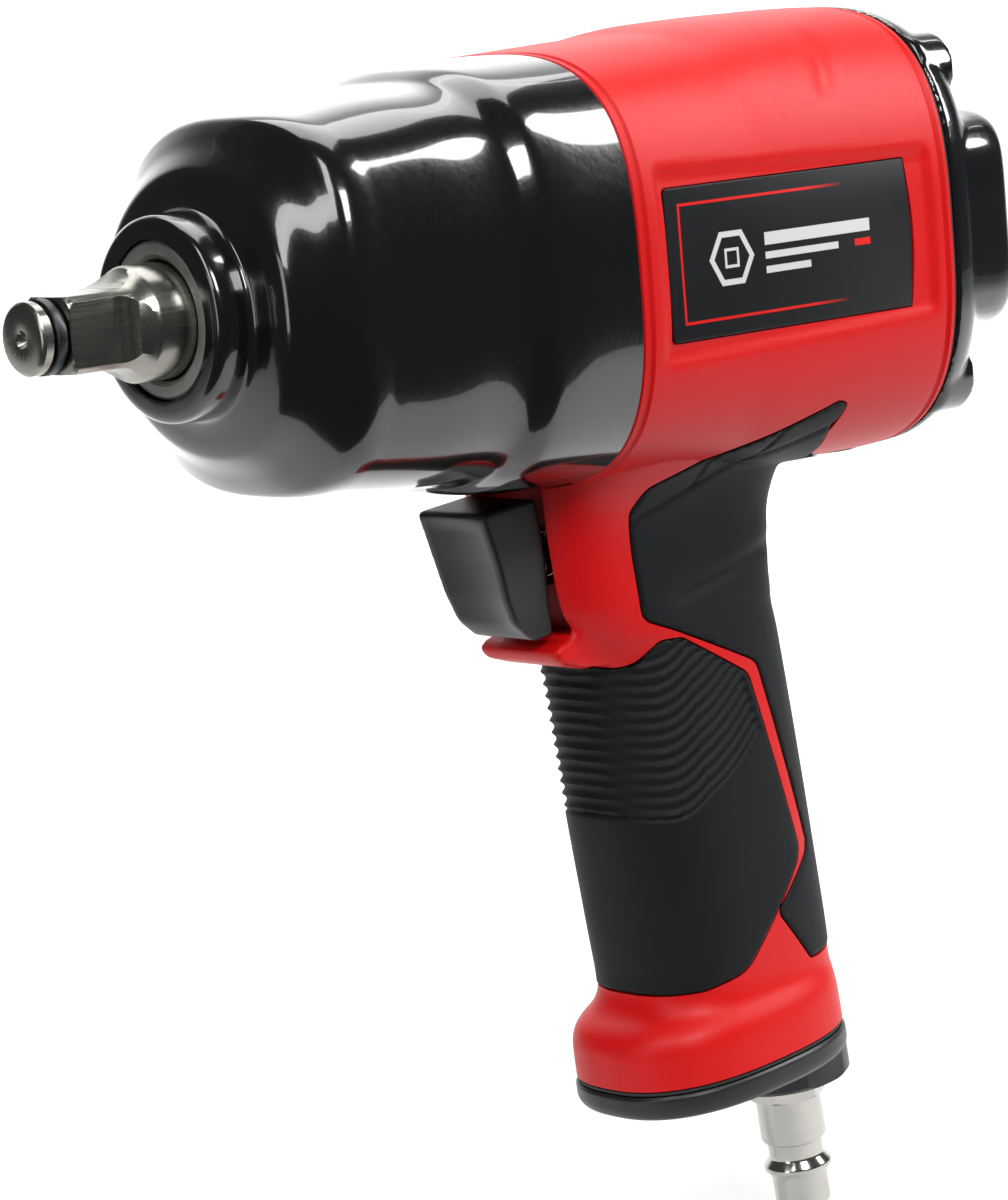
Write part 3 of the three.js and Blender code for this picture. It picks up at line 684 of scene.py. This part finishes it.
barrel = {
    "rows": [
        (101.8, 36.7, 37.4, 3), (102.1, 37.15, 37.9, 3), (103, 37.25, 38, 3), (103.35, 36.75, 37.5, 3),
        (103.8, 36.75, 37.5, 3), (104.3, 37.25, 38, 3), (108, 37.3, 38.2, 3), (122, 37.35, 38.8, 3),
        (131, 37.35, 39.2, 3), (136.5, 37.4, 40, 3), (143, 37.4, 40.6, 3), (160, 37.4, 40.95, 3),
        (172, 37.35, 40.95, 3), (175.7, 37.3, 40.8, 3), (176.1, 36.8, 40.3, 3), (176.6, 36.8, 40.3, 3),
        (177, 37.3, 40.75, 3), (178, 37.2, 40.6, 3),
    ],
    "panelDepth": 0.8,
    "panelHalfHeight": 16.4,
    "panelFrom": 106.4,
    "panelTo": 174,
    "soft": 1.9,
}


def sidePanel(point, angle):
    # The flat sides dip a little round the label, and a shallow scoop runs down from the top's shoulder.
    y, z, x = point
    blur = barrel["soft"]
    half = barrel["panelHalfHeight"] - 0.035 * (x - barrel["panelFrom"])
    share = 1 - soft(abs(z), half - blur / 2, half + blur / 2)
    share *= soft(x, barrel["panelFrom"], barrel["panelFrom"] + blur)
    share *= 1 - soft(x, barrel["panelTo"] - blur, barrel["panelTo"])
    y -= math.copysign(barrel["panelDepth"] * share, y)
    along = x - (157.5 - 0.45 * (38 - z))
    scoop = math.exp(-(along / 2.2) ** 2) * soft(z, 24, 28) * (1 - soft(z, 34, 38))
    inward = Vector((math.cos(angle), math.sin(angle))) * 0.6 * scoop
    return Vector((y - inward.x, z - inward.y, x))


def makeBarrel(grow=0, change=sidePanel):
    return casing("barrel", barrel["rows"], 0.76, 224, grow, change)


handle = {
    # Height, front, rear, half width, squareness.
    "rows": [
        (-20, -31, 46, 35, 3), (-27, -31.6, 43, 31.4, 3), (-32, -32, 38, 26.6, 2.9),
        (-36.5, -32.4, 32.6, 21.4, 3.2), (-41, -32.8, 27.2, 18, 3.6), (-46, -33, 23, 16.6, 3.8),
        (-51, -33, 20.8, 16.2, 3.8), (-57, -32.6, 20, 16.3, 3.6), (-61, -31, 19.8, 16.5, 3.2),
        (-64.5, -28.4, 19.8, 16.9, 2.9), (-68, -25.6, 19.9, 17.2, 2.6), (-73, -23.9, 20.1, 17.4, 2.6),
        (-100, -23.4, 20.6, 17.6, 2.6), (-122, -22.9, 20.9, 17.4, 2.6), (-129, -22.8, 21.1, 17.1, 2.6),
        (-132.6, -23.2, 21.2, 16.9, 2.6), (-135.4, -25.2, 21.3, 17.1, 2.55),
        (-137.4, -28.6, 21.35, 18.1, 2.5), (-139, -30.2, 21.4, 18.9, 2.5),
        (-141.5, -31, 21.5, 19.4, 2.5), (-150, -31.2, 21.5, 19.7, 2.5),
    ],
    "bottom": -147.5,
    "coreInset": 2.2,
}


def makeHandle(grow=0):
    rows = [
        (z, front - grow, rear + grow, -half - grow, half + grow, p)
        for z, front, rear, half, p in handle["rows"]]
    return column("handle", rows, 1.3, 96)


triggerPlace = {
    "guard": [
        (-20, -56, 1), (-27, -58, 3), (-30.5, -62, 4), (-33.4, -62.6, 0.8), (-35.4, -63.8, 0.8),
        (-34, -66, 1.5), (-29, -68.2, 4), (-22, -69.6, 3), (-16, -66, 3),
    ],
    "slot": (-70, -25.9, 9.65, -61.7, -31),
}


def handleSkin():
    # The handle with the finger guard blended into it.
    skin = makeHandle()
    guard = sideCut("guard", filleted(triggerPlace["guard"]), -10.6, 10.6)
    bevelled(guard, 2.2, 3, 40)
    join(skin, guard)
    return remeshed(skin, 0.7, 4)


frontOutline = [
    (-60, -67.6, 0), (-27, -68.4, 2), (-21, -70.6, 5), (-15.4, -66.4, 3), (-10.8, -67, 2.5),
    (3, -77.2, 4), (9.6, -112, 3), (8.4, -114.5, 2), (-7.6, -130.4, 9), (-16, -131.8, 8),
    (-60, -131.2, 0),
]
rearOutline = [
    (60, -46, 0), (34, -44.6, 4), (24, -41.8, 3), (21.4, -37, 2), (23.4, -31.8, 1.6), (21, -30.9, 1.2),
    (-15.5, -38.4, 3.5), (-18.6, -42, 2.5), (-18.4, -61.6, 3.5), (-12, -65, 4), (5.8, -75.6, 4),
    (12.6, -111.6, 2), (11.6, -113.8, 2), (1.4, -122, 1.6), (8.8, -133.2, 1.5), (11, -133.4, 1),
    (60, -133, 0),
]


def gripSkin(name, outline, lift, inset, grow=0):
    # What lies within the outline, between a surface under the handle's skin and one just above it.
    skin = makeHandle(lift)
    join(skin, moved(makeBarrel(lift, None), upright))
    combine(skin, "INTERSECT", sideCut(name + "Reach", grown(filleted(outline), grow), -60, 60))
    inner = makeHandle(-inset)
    join(inner, moved(makeBarrel(-inset, None), upright))
    cut(skin, inner)
    skin.name = name
    return skin


def labelTool(side):
    low, high = labelPlate["left"], labelPlate["right"]
    half = labelPlate["halfHeight"]
    grow = labelPlate["recessGap"]
    corners = [
        (low - grow, -half - grow, 1.2), (high - 1 + grow, -half - grow, 0.6), (high + 0.4 + grow, 0, 60),
        (high - 1 + grow, half + grow, 0.6), (low - grow, half + grow, 1.2)]
    inner = labelPlate["recessFloor"]
    return sideCut("labelRecess", filleted(corners, 8), *((inner, 40) if side > 0 else (-40, -inner)))


passages = {
    # Boxes by their low and high corners, upright bores by start, length and radius.
    "ducts": [
        ((2, -6, -48), (12, 6, -23)), ((-17.2, -7.5, -80), (-11.4, 7.5, -23)),
        ((-17.6, -8, -152), (-4, 8, -72.6)), ((-2.9, -6.6, -88), (17.2, 6.6, -42))],
    "bores": [((12.2, 0, -152.2), 64, 6.4), ((12.2, 0, -160), 18.5, 8.4)],
    "rodBores": [
        (-34, 0), (-34, 5.6), (-17.8, 5.6), (-17.8, 2.65), (-15.6, 2.65), (-15.6, 4.7), (-2.3, 4.7),
        (-2.3, 2.65), (4, 2.65), (4, 0)],
    "rodHeight": -48.53,
}
pocket = {"above": 6, "lessDeep": 0.3, "gap": 0.28}


def makePocket(name, outline):
    # The room that a grip sits in, a little larger than the grip and open outwards.
    return gripSkin(name, outline, pocket["above"], handle["coreInset"] - pocket["lessDeep"], pocket["gap"])


screwSpots = []
for number in range(1, 5):
    low, high = boxOf(f"cover_screw_{number}")
    screwSpots.append(((low.y + high.y) / 2, (low.z + high.z) / 2))

housing = makeBarrel()
housing.name = "motorHousing"
grip = handleSkin()
cut(grip, block("underBase", (-60, -40, -160), (60, 40, handle["bottom"])))
front, rear, reach, low, high = triggerPlace["slot"]
cut(grip, block("triggerSlot", (front, -reach, low), (rear, reach, high)))
for name, outline in (("frontPocket", frontOutline), ("rearPocket", rearOutline)):
    cut(grip, makePocket(name, outline))
moved(grip, handlePlace)
cut(grip, casing("roundCase", [(60, 37.4, 38, 3), (101.8, 37.5, 38.1, 3)], 20, 96))
cut(housing, moved(makePocket("rearPocket", rearOutline), handlePlace))
join(housing, grip)
cut(housing, labelTool(1), labelTool(-1))
cut(housing, spun("motorBore", [(95, 0), (95, 30.1), (163.9, 30.1), (163.9, 26), (180, 26), (180, 0)]))
for y, z in screwSpots:
    cut(housing, rod("screwHole", "x", (95, y, z), 90, 2.7, 24))
firstDuct, *moreDucts = passages["ducts"]
ducts = block("airDuct", *firstDuct)
for corners in moreDucts:
    join(ducts, block("airDuct", *corners))
for start, length, radius in passages["bores"]:
    join(ducts, rod("airBore", "z", start, length, radius))
rodBores = spun("rodBores", passages["rodBores"], 32)
join(ducts, moved(rodBores, Matrix.Translation((0, 0, passages["rodHeight"]))))
cut(housing, moved(ducts, handlePlace))
finishPiece(housing, finishes["red_nylon"], "red_nylon", "housing", "motor_housing", smooth=32)
print("motor housing made")

# Labels.

for side, node in ((-1, "label_left"), (1, "label_right")):
    low, high = labelPlate["left"], labelPlate["right"]
    half = labelPlate["halfHeight"]
    corners = [
        (low, -half, 1), (high - 1, -half, 0.5), (high + 0.4, 0, 60), (high - 1, half, 0.5), (low, half, 1)]
    inner, outer = labelPlate["film"]
    film = sideCut(node + "Film", filleted(corners, 8), *((inner, outer) if side > 0 else (-outer, -inner)))
    bevelled(film, 0.12, 2, 60)
    finishPiece(film, finishes["label"], "label", "housing", node)
print("labels made")

# Rubber grips.

gripFit = {"lift": 0.25, "depth": 1.8, "frontVoxel": 0.37, "rearVoxel": 0.5}
gripRibs = {
    "count": 14,
    "pitch": 2.3,
    "top": -66.8,
    "depth": 0.72,
    "turnAt": -17,
    "rise": 0.055,
    "risePower": 1.72,
    "dip": 1.5,
}
thumbCrease = {"height": -60.5, "slope": 0.12, "depth": 0.45, "width": 1.6}
wingBand = {"below": -46, "drop": 4.6, "depth": 0.4, "width": 0.6}
wingNicks = {"places": (-1.5, 9.5), "slope": 0.5, "depth": 0.45, "width": 0.5}


def groove(distance, width, depth):
    return depth * math.exp(-(distance / width) ** 2)


def ribHeight(point):
    # How deep the skin lies between ribs, which run level round the front and rise towards the rear.
    x, y, z = point
    rise = gripRibs["rise"] * max(x - gripRibs["turnAt"], 0) ** gripRibs["risePower"]
    dip = gripRibs["dip"] * math.sin(min(max((x + 24) / 14, 0), 1) * math.pi)
    step = (gripRibs["top"] - (z - rise + dip)) / gripRibs["pitch"]
    edge = soft(step, -0.35, -0.05) * (1 - soft(step, gripRibs["count"] - 0.7, gripRibs["count"] - 0.4))
    rear = 1 - soft(x - (7.2 - 0.19 * (z + 92)), -3.2, -2.2)
    wave = 0.5 - 0.5 * math.cos(2 * math.pi * step)
    return edge * rear * (wave ** 0.6) * gripRibs["depth"]


def rearRelief(point):
    # A crease under the thumb, a band along the wing's upper edge and two slanting nicks in it.
    x, y, z = point
    crease = z - (thumbCrease["height"] + thumbCrease["slope"] * (x + 18))
    depth = groove(crease, thumbCrease["width"], thumbCrease["depth"])
    depth *= soft(x, -14, -8) * (1 - soft(x, 16, 19))
    upper = -38.4 + (x + 15.5) * 0.205
    band = z - (upper - wingBand["drop"])
    if z > wingBand["below"]:
        depth += groove(band, wingBand["width"], wingBand["depth"])
        for place in wingNicks["places"]:
            across = x - place - wingNicks["slope"] * (z - upper)
            depth += groove(across, wingNicks["width"], wingNicks["depth"]) * soft(band, -0.5, 0.5)
    return depth


def isOuter(point, normal):
    # True on the skin that the hand touches.
    away = Vector((point.x + 1.5, point.y * 1.2, 0))
    return normal.dot(away) > 0.3 * away.length


def makeGrip(name, outline, voxel, rounds, depthAt):
    # A rubber pad with its relief pressed into the outer skin.
    pad = remeshed(gripSkin(name, outline, gripFit["lift"], gripFit["depth"]), voxel, rounds)
    for vertex, normal in [(v, v.normal.copy()) for v in pad.data.vertices]:
        if isOuter(vertex.co, normal):
            vertex.co -= normal * depthAt(vertex.co)
    return pad


frontGrip = makeGrip("frontGrip", frontOutline, gripFit["frontVoxel"], 3, ribHeight)
finishPiece(
    frontGrip, finishes["rubber"], "rubber", "housing", "front_grip", smooth=60, place=handlePlace)
rearGrip = makeGrip("rearGrip", rearOutline, gripFit["rearVoxel"], 4, rearRelief)
finishPiece(rearGrip, finishes["rubber"], "rubber", "housing", "rear_grip", smooth=60, place=handlePlace)
print("grips made")

# Trigger.

trigger = {
    "outline": [
        (-45.2, -36.2, 1.6), (-44.5, -39.4, 2), (-43.2, -46, 14), (-42.3, -52, 10), (-40.8, -57.2, 5),
        (-37.2, -61.1, 3.4), (-32.5, -61, 1), (-32.5, -36.2, 0.6),
    ],
    "half": 9.1,
    "taper": 0.12,
    "edge": 2.3,
    "hollow": 1.1,
    "hollowHalf": 7.5,
}


def leverPoint(point):
    # The lever narrows a little towards its foot, and its front is hollowed across.
    x, y, z = point
    narrow = 1 - trigger["taper"] * soft(-z, 44, 61)
    front = soft(-x, 34, 40)
    hollow = trigger["hollow"] * front * max(1 - (y / trigger["hollowHalf"]) ** 2, 0)
    hollow *= soft(-z, 36.6, 40) * (1 - soft(-z, 56, 60.5))
    return Vector((x + hollow, y * narrow, z))


lever = sideCut("trigger", filleted(trigger["outline"], 8), -trigger["half"], trigger["half"])
bevelled(lever, trigger["edge"], 5, 50)
remeshed(lever, 0.35, 6)
for vertex in lever.data.vertices:
    vertex.co = leverPoint(vertex.co)
cut(lever, rod("rodSeat", "x", (-36.5, 0, -48.5), 6, 2.5, 32))
finishPiece(
    lever, finishes["black_nylon"], "black_nylon", "trigger", "trigger", smooth=60, place=handlePlace)

# The trigger's return spring, drawn at one length; the real one shortens as the trigger comes in.
returnSpring = {
    "radius": 3.9,
    "wire": 0.3,
    "start": -32,
    "end": -18.4,
    "turns": 5,
    "sides": 10,
    "steps": 160,
    "press": 6,
}
deselectAll()
bpy.ops.mesh.primitive_circle_add(
    vertices=returnSpring["sides"], radius=returnSpring["wire"], location=(0, 0, 0))
coil = bpy.context.object
coil.name = "triggerSpring"
moved(coil, Matrix.Translation((returnSpring["start"] + returnSpring["wire"], 0, returnSpring["radius"]))
      @ Matrix.Rotation(math.pi / 2, 4, "X"))
length = returnSpring["end"] - returnSpring["start"]
applyModifier(
    coil, "SCREW", axis="X", angle=2 * math.pi * returnSpring["turns"],
    screw_offset=length - 2 * returnSpring["wire"], steps=returnSpring["steps"],
    render_steps=returnSpring["steps"], use_smooth_shade=False)
with Editing(coil, "EDGE"):
    bpy.ops.mesh.select_non_manifold()
    bpy.ops.mesh.edge_face_add()
moved(faceOut(coil), Matrix.Translation((0, 0, -48.5)))
finishPiece(
    coil, finishes["ground_steel"], "ground_steel", "housing", "trigger_spring", smooth=50,
    place=handlePlace)
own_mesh(coil)
print("trigger made")

# Rear cover and selector.

cover = {
    "shell": [
        (179.1, 36.9, 40.5, 3), (179.5, 37.1, 40.7, 3), (182, 36.9, 40.3, 3), (184.6, 36, 39, 3),
        (186.8, 34.2, 36.6, 2.9), (188, 31.4, 33.4, 2.8)],
    "middle": [
        (179.1, 36.5, 19.6, 7), (190, 35.9, 19.8, 7), (194, 35.4, 20.6, 6), (195.6, 34.6, 20.8, 5.5),
        (196.4, 33, 19.6, 5)],
    "face": 179.1,
    "knobSeat": 15.5,
    "valveRoom": 24,
    "stemBore": 5.4,
    "sealBore": 25,
    "bossRadius": 6.8,
    "headSeat": 4.6,
    "screwHole": 2.7,
}
rearCover = casing("rearCover", cover["shell"], 0.8, 128)
join(rearCover, casing("coverMiddle", cover["middle"], 0.8, 160))
for y, z in screwSpots:
    join(rearCover, rod("screwBoss", "x", (180, y, z), 7.2, cover["bossRadius"]))
remeshed(rearCover, 0.55, 3)
cut(rearCover, block("coverFace", (150, -60, -60), (cover["face"], 60, 60)))
cut(rearCover, rod("knobSeat", "x", (189.1, 0, 0), 20, cover["knobSeat"], 96))
cut(rearCover, rod("valveRoom", "x", (170, 0, 0), 17, cover["valveRoom"], 64))
cut(rearCover, rod("stemBore", "x", (170, 0, 0), 30, cover["stemBore"], 48))
for y, z in screwSpots:
    cut(rearCover, rod("headSeat", "x", (183.1, y, z), 20, cover["headSeat"], 48))
    cut(rearCover, rod("screwHole", "x", (170, y, z), 30, cover["screwHole"], 24))
finishPiece(rearCover, finishes["black_paint"], "black_paint", "housing", "rear_cover", smooth=35)

seal = casing("rearGasket", [(178.3, 36.8, 40.2, 3), (178.8, 36.8, 40.2, 3)], 0.5, 160)
cut(seal, rod("sealBore", "x", (170, 0, 0), 20, cover["sealBore"], 96))
for y, z in screwSpots:
    cut(seal, rod("screwHole", "x", (170, y, z), 20, cover["screwHole"], 24))
finishPiece(seal, finishes["gasket"], "gasket", "housing", "rear_gasket")

headProfile = [
    (94.9, 0), (94.9, 1.6), (96, 2.3), (183.3, 2.35), (183.4, 3.9), (183.7, 4.2), (186.5, 4.2),
    (187, 3.7), (187, 0)]
for number, (y, z) in enumerate(screwSpots, 1):
    bolt = spun(f"coverScrew{number}", headProfile, 48)
    cut(bolt, rod("hexSocket", "x", (184.8, 0, 0), 4, 2.3, 6))
    finishPiece(
        bolt, finishes["dark_steel"], "dark_steel", "housing", f"cover_screw_{number}", smooth=30,
        place=Matrix.Translation((0, y, z)))

selector = {
    "profile": [(189.6, 0), (189.6, 14.6), (190, 15), (193.2, 15), (194, 14.2), (194, 0)],
    "nicks": 24,
    "nickRadius": 0.9,
    "nickPlace": 15.6,
    "bar": [(193.5, -3, 0.2), (197, -2.2, 0.8), (197, 2.2, 0.8), (193.5, 3, 0.2)],
    "barHalf": 12.5,
}
knob = spun("selectorKnob", selector["profile"], 96)
for k in range(selector["nicks"]):
    nick = rod("knobNick", "x", (189, 0, selector["nickPlace"]), 6, selector["nickRadius"], 12)
    cut(knob, moved(nick, Matrix.Rotation(k * 2 * math.pi / selector["nicks"], 4, "X")))
bar = sideCut("knobBar", filleted(selector["bar"]), -selector["barHalf"], selector["barHalf"])
bevelled(bar, 0.5, 3, 40)
join(knob, moved(bar, Matrix.Rotation(math.pi / 2, 4, "X")))
cut(knob, rod("stemHole", "x", (188, 0, 0), 4, 3.2, 6))
finishPiece(knob, finishes["black_nylon"], "black_nylon", "selector", "selector_knob", smooth=35)
print("rear cover made")

# Base and air inlet.

baseBottom = -153.5


def baseShape(name, rows, spacing):
    full = [(z, front, rear, -half, half, 2.5) for z, front, rear, half in rows]
    return column(name, full, spacing, 128)


plug = {"x": 12.2, "top": baseBottom - 6.7, "bore": 3.6}
base = {
    # Height, front, rear and half width.
    "plate": [
        (-153.5, -29.4, 19.8, 18), (-153.1, -30.4, 20.7, 18.9), (-152.2, -31.2, 21.5, 19.7),
        (-151, -31.55, 21.75, 19.95), (-149.2, -31.5, 21.7, 19.9), (-148.6, -31.1, 21.3, 19.5)],
    "gasket": [(-148.3, -31, 21.2, 19.4), (-147.8, -31, 21.2, 19.4)],
    "slots": (-15.4, -12.4, -9.4, -6.4),
    "slotHalf": (0.8, 6.6),
    "screws": [(-21, 0), (0.5, 14.5), (0.5, -14.5)],
    "under": -160,
    "inletRadius": 8.4,
}
plate = baseShape("basePlate", base["plate"], 0.35)
gasketSheet = baseShape("baseGasket", base["gasket"], 0.25)
for x in base["slots"]:
    halfX, halfY = base["slotHalf"]
    cut(plate, block("exhaustSlot", (x - halfX, -halfY, base["under"]), (x + halfX, halfY, -140)))
for x, y in base["screws"]:
    foot = (x, y, base["under"])
    cut(plate, rod("screwSeat", "z", foot, 9.7, 3.4, 32))
    cut(plate, rod("screwHole", "z", foot, 20, 2, 24))
    cut(gasketSheet, rod("screwHole", "z", foot, 20, 2, 24))
for piece in (plate, gasketSheet):
    cut(piece, rod("inletHole", "z", (plug["x"], 0, base["under"]), 20, base["inletRadius"], 64))
cut(gasketSheet, block("muffler", (-16.4, -6.8, base["under"]), (-5.4, 6.8, -140)))
finishPiece(plate, finishes["black_nylon"], "black_nylon", "housing", "base_plate", place=handlePlace)
finishPiece(gasketSheet, finishes["gasket"], "gasket", "housing", "base_gasket", place=handlePlace)

toDown = Matrix.Rotation(math.pi / 2, 4, "Y")  # X turned to point down


def hung(profile, top, steps=96, name="turned"):
    # A piece turned about the plug's axis, from depths below the top.
    piece = spun(name, profile, steps)
    return moved(piece, Matrix.Translation((plug["x"], 0, top)) @ toDown)


baseScrewProfile = [
    (-15.1, 0), (-15.1, 1.2), (-14.4, 1.7), (-2.1, 1.7), (-2, 2.9), (-1.8, 3.1), (-0.5, 3.1),
    (-0.1, 2.7), (-0.1, 0)]
for number, (x, y) in enumerate(base["screws"], 1):
    bolt = spun(f"baseScrew{number}", baseScrewProfile, 48)
    moved(bolt, Matrix.Translation((x, y, baseBottom)) @ toDown)
    cut(bolt, rod("hexSocket", "z", (x, y, baseBottom - 1), 2.4, 1.4, 6))
    finishPiece(
        bolt, finishes["dark_steel"], "dark_steel", "housing", f"base_screw_{number}", place=handlePlace)

collarProfile = [
    (-11.7, 0), (-11.7, 8.1), (0.3, 8.1), (0.3, 12.1), (0.6, 12.5), (5.4, 12.5), (6.1, 11.9),
    (6.3, 11.2), (6.3, 0)]
collar = hung(collarProfile, baseBottom, name="inletCollar")
cut(collar, rod("collarBore", "z", (plug["x"], 0, -175), 40, 5.7, 64))
for low, high in ((-20, -11.6), (11.6, 20)):
    cut(collar, block("collarFlat", (plug["x"] - 20, low, -162), (plug["x"] + 20, high, -150)))
finishPiece(collar, finishes["black_nylon"], "black_nylon", "housing", "inlet_collar", place=handlePlace)

plugProfile = [
    (-9, 0), (-9, 4.9), (-8.6, 5.3), (0, 5.3), (0, 7.2), (0.5, 7.9), (2.2, 7.9), (3, 6.9), (3.1, 6.3),
    (3.5, 6.2), (11, 6.2), (11.5, 6), (11.9, 5.35), (12.4, 5.2), (14.7, 5.15), (15.2, 5.3), (16.3, 6.3),
    (16.7, 6.4), (17.2, 6.35), (18.5, 5.35), (19.2, 5.25), (24, 5.2), (24.6, 4.8), (24.6, 0)]
airPlug = hung(plugProfile, plug["top"], 128, "airPlug")
hexBar = rod("hexBar", "z", (plug["x"], 0, plug["top"] - 3.05), 3.2, 7.75, 6)
roundBar = rod("plugRounds", "z", (plug["x"], 0, plug["top"] - 60), 56.95, 20, 64)
stubBar = rod("plugStub", "z", (plug["x"], 0, plug["top"] + 0.1), 20, 5.6, 64)
combine(airPlug, "INTERSECT", join(hexBar, roundBar, stubBar))
cut(airPlug, rod("plugBore", "z", (plug["x"], 0, -230), 120, plug["bore"], 64))
cut(airPlug, rod("boreMouth", "z", (plug["x"], 0, plug["top"] - 24.7), 1, 4.5, 64, tip=plug["bore"]))
bevelled(airPlug, 0.12, 2, 40)
finishPiece(airPlug, finishes["nickel"], "nickel", "housing", "air_plug", smooth=30, place=handlePlace)
print("base made")

# Camera, floor and light.

look = {"turn": 40.15, "height": 8.1, "roll": 4.8, "lens": 135.78, "film": 36, "offset": (-77.8, 41.9, 730)}
turn, height, roll = (math.radians(look[key]) for key in ("turn", "height", "roll"))
right = Vector((math.cos(turn), -math.sin(turn), 0))
ahead = Vector((math.sin(turn) * math.cos(height), math.cos(turn) * math.cos(height), -math.sin(height)))
over = right.cross(ahead)
right, over = (
    right * math.cos(roll) - over * math.sin(roll),
    right * math.sin(roll) + over * math.cos(roll))
rows = Matrix((right, over, ahead))
eye = -(rows.transposed() @ Vector(look["offset"])) * mm
camera = bpy.data.objects.new("camera", bpy.data.cameras.new("camera"))
bpy.context.scene.collection.objects.link(camera)
camera.matrix_world = Matrix.Translation(eye) @ Matrix((right, over, -ahead)).transposed().to_4x4()
camera.data.lens = look["lens"]
camera.data.sensor_width = look["film"]
camera.data.clip_start = 0.01
camera.data.clip_end = 20
bpy.context.scene.camera = camera

deselectAll()
floorHeight = cadBox[0][2] - 0.003
bpy.ops.mesh.primitive_grid_add(x_subdivisions=40, y_subdivisions=60, size=1, location=(0, 0, 0))
floor = bpy.context.object
floor.name = "studioFloor"
sweep = {"width": 3, "depth": 4.5, "front": 0.12, "radius": 0.5, "back": 0.75}
forward = Vector((math.sin(turn), math.cos(turn), 0))
sideways = Vector((math.cos(turn), -math.sin(turn), 0))
centre = Vector((0.1, 0, floorHeight))
for vertex in floor.data.vertices:
    across, deep = vertex.co.x * sweep["width"], (vertex.co.y + 0.5) * sweep["depth"] - sweep["front"]
    rise = max(deep - sweep["back"], 0)
    bend = min(rise / sweep["radius"], math.pi / 2)
    wall = max(rise - sweep["radius"] * math.pi / 2, 0)
    out = min(deep, sweep["back"]) + sweep["radius"] * math.sin(bend)
    up = sweep["radius"] * (1 - math.cos(bend)) + wall
    vertex.co = centre + sideways * across + forward * out + Vector((0, 0, up))
activate(floor)
bpy.ops.object.shade_smooth()
paper = Finish("pale paper", Specular_IOR_Level=0.2)
paperCloud = paper.noise(3, 2)
paper.show(Base_Color=paper.mix(paperCloud, rgb(0.74, 0.74, 0.74), rgb(0.78, 0.78, 0.78)))
paper.show(Roughness=0.7 + 0.1 * paperCloud)
floor.data.materials.append(paper.material)


def softbox(name, place, target, width, length, power):
    lamp = bpy.data.objects.new(name, bpy.data.lights.new(name, "AREA"))
    lamp.data.shape = "RECTANGLE"
    lamp.data.size = width
    lamp.data.size_y = length
    lamp.data.energy = power
    bpy.context.scene.collection.objects.link(lamp)
    lamp.location = place
    lamp.rotation_euler = (Vector(target) - Vector(place)).to_track_quat("-Z", "Y").to_euler()
    return lamp


middle = Vector((0.1, 0, -0.04))
lamps = {
    # Direction from the object, distance, width, length, power.
    "overheadLight": ((0.25, 0.35, 1), 1.1, 0.8, 0.8, 6),
    "rightStrip": ((0.64, -0.48, 0.56), 0.8, 0.2, 0.6, 5),
    "leftStrip": ((-0.66, -0.3, 0.66), 0.8, 0.18, 0.6, 2.2),
    "keyLight": ((-0.25, -0.8, 0.62), 1.2, 0.4, 0.4, 8.5),
    "fillLight": ((-0.95, -0.1, 0.12), 1.1, 0.3, 0.6, 1.5),
}
for name, (direction, distance, width, length, power) in lamps.items():
    softbox(name, middle + Vector(direction).normalized() * distance, middle, width, length, power)

backdrop = middle + forward * 0.55 + Vector((0, 0, 0.75))
softbox("backdropLight", backdrop, middle + forward * 1.3 + Vector((0, 0, 0.1)), 1.4, 0.4, 16)

world = bpy.data.worlds.new("studio")
bpy.context.scene.world = world
world.use_nodes = True
world.node_tree.nodes["Background"].inputs[0].default_value = (0.95, 0.97, 1, 1)
world.node_tree.nodes["Background"].inputs[1].default_value = 0.07
bpy.context.scene.view_settings.view_transform = "Standard"
print("studio made")
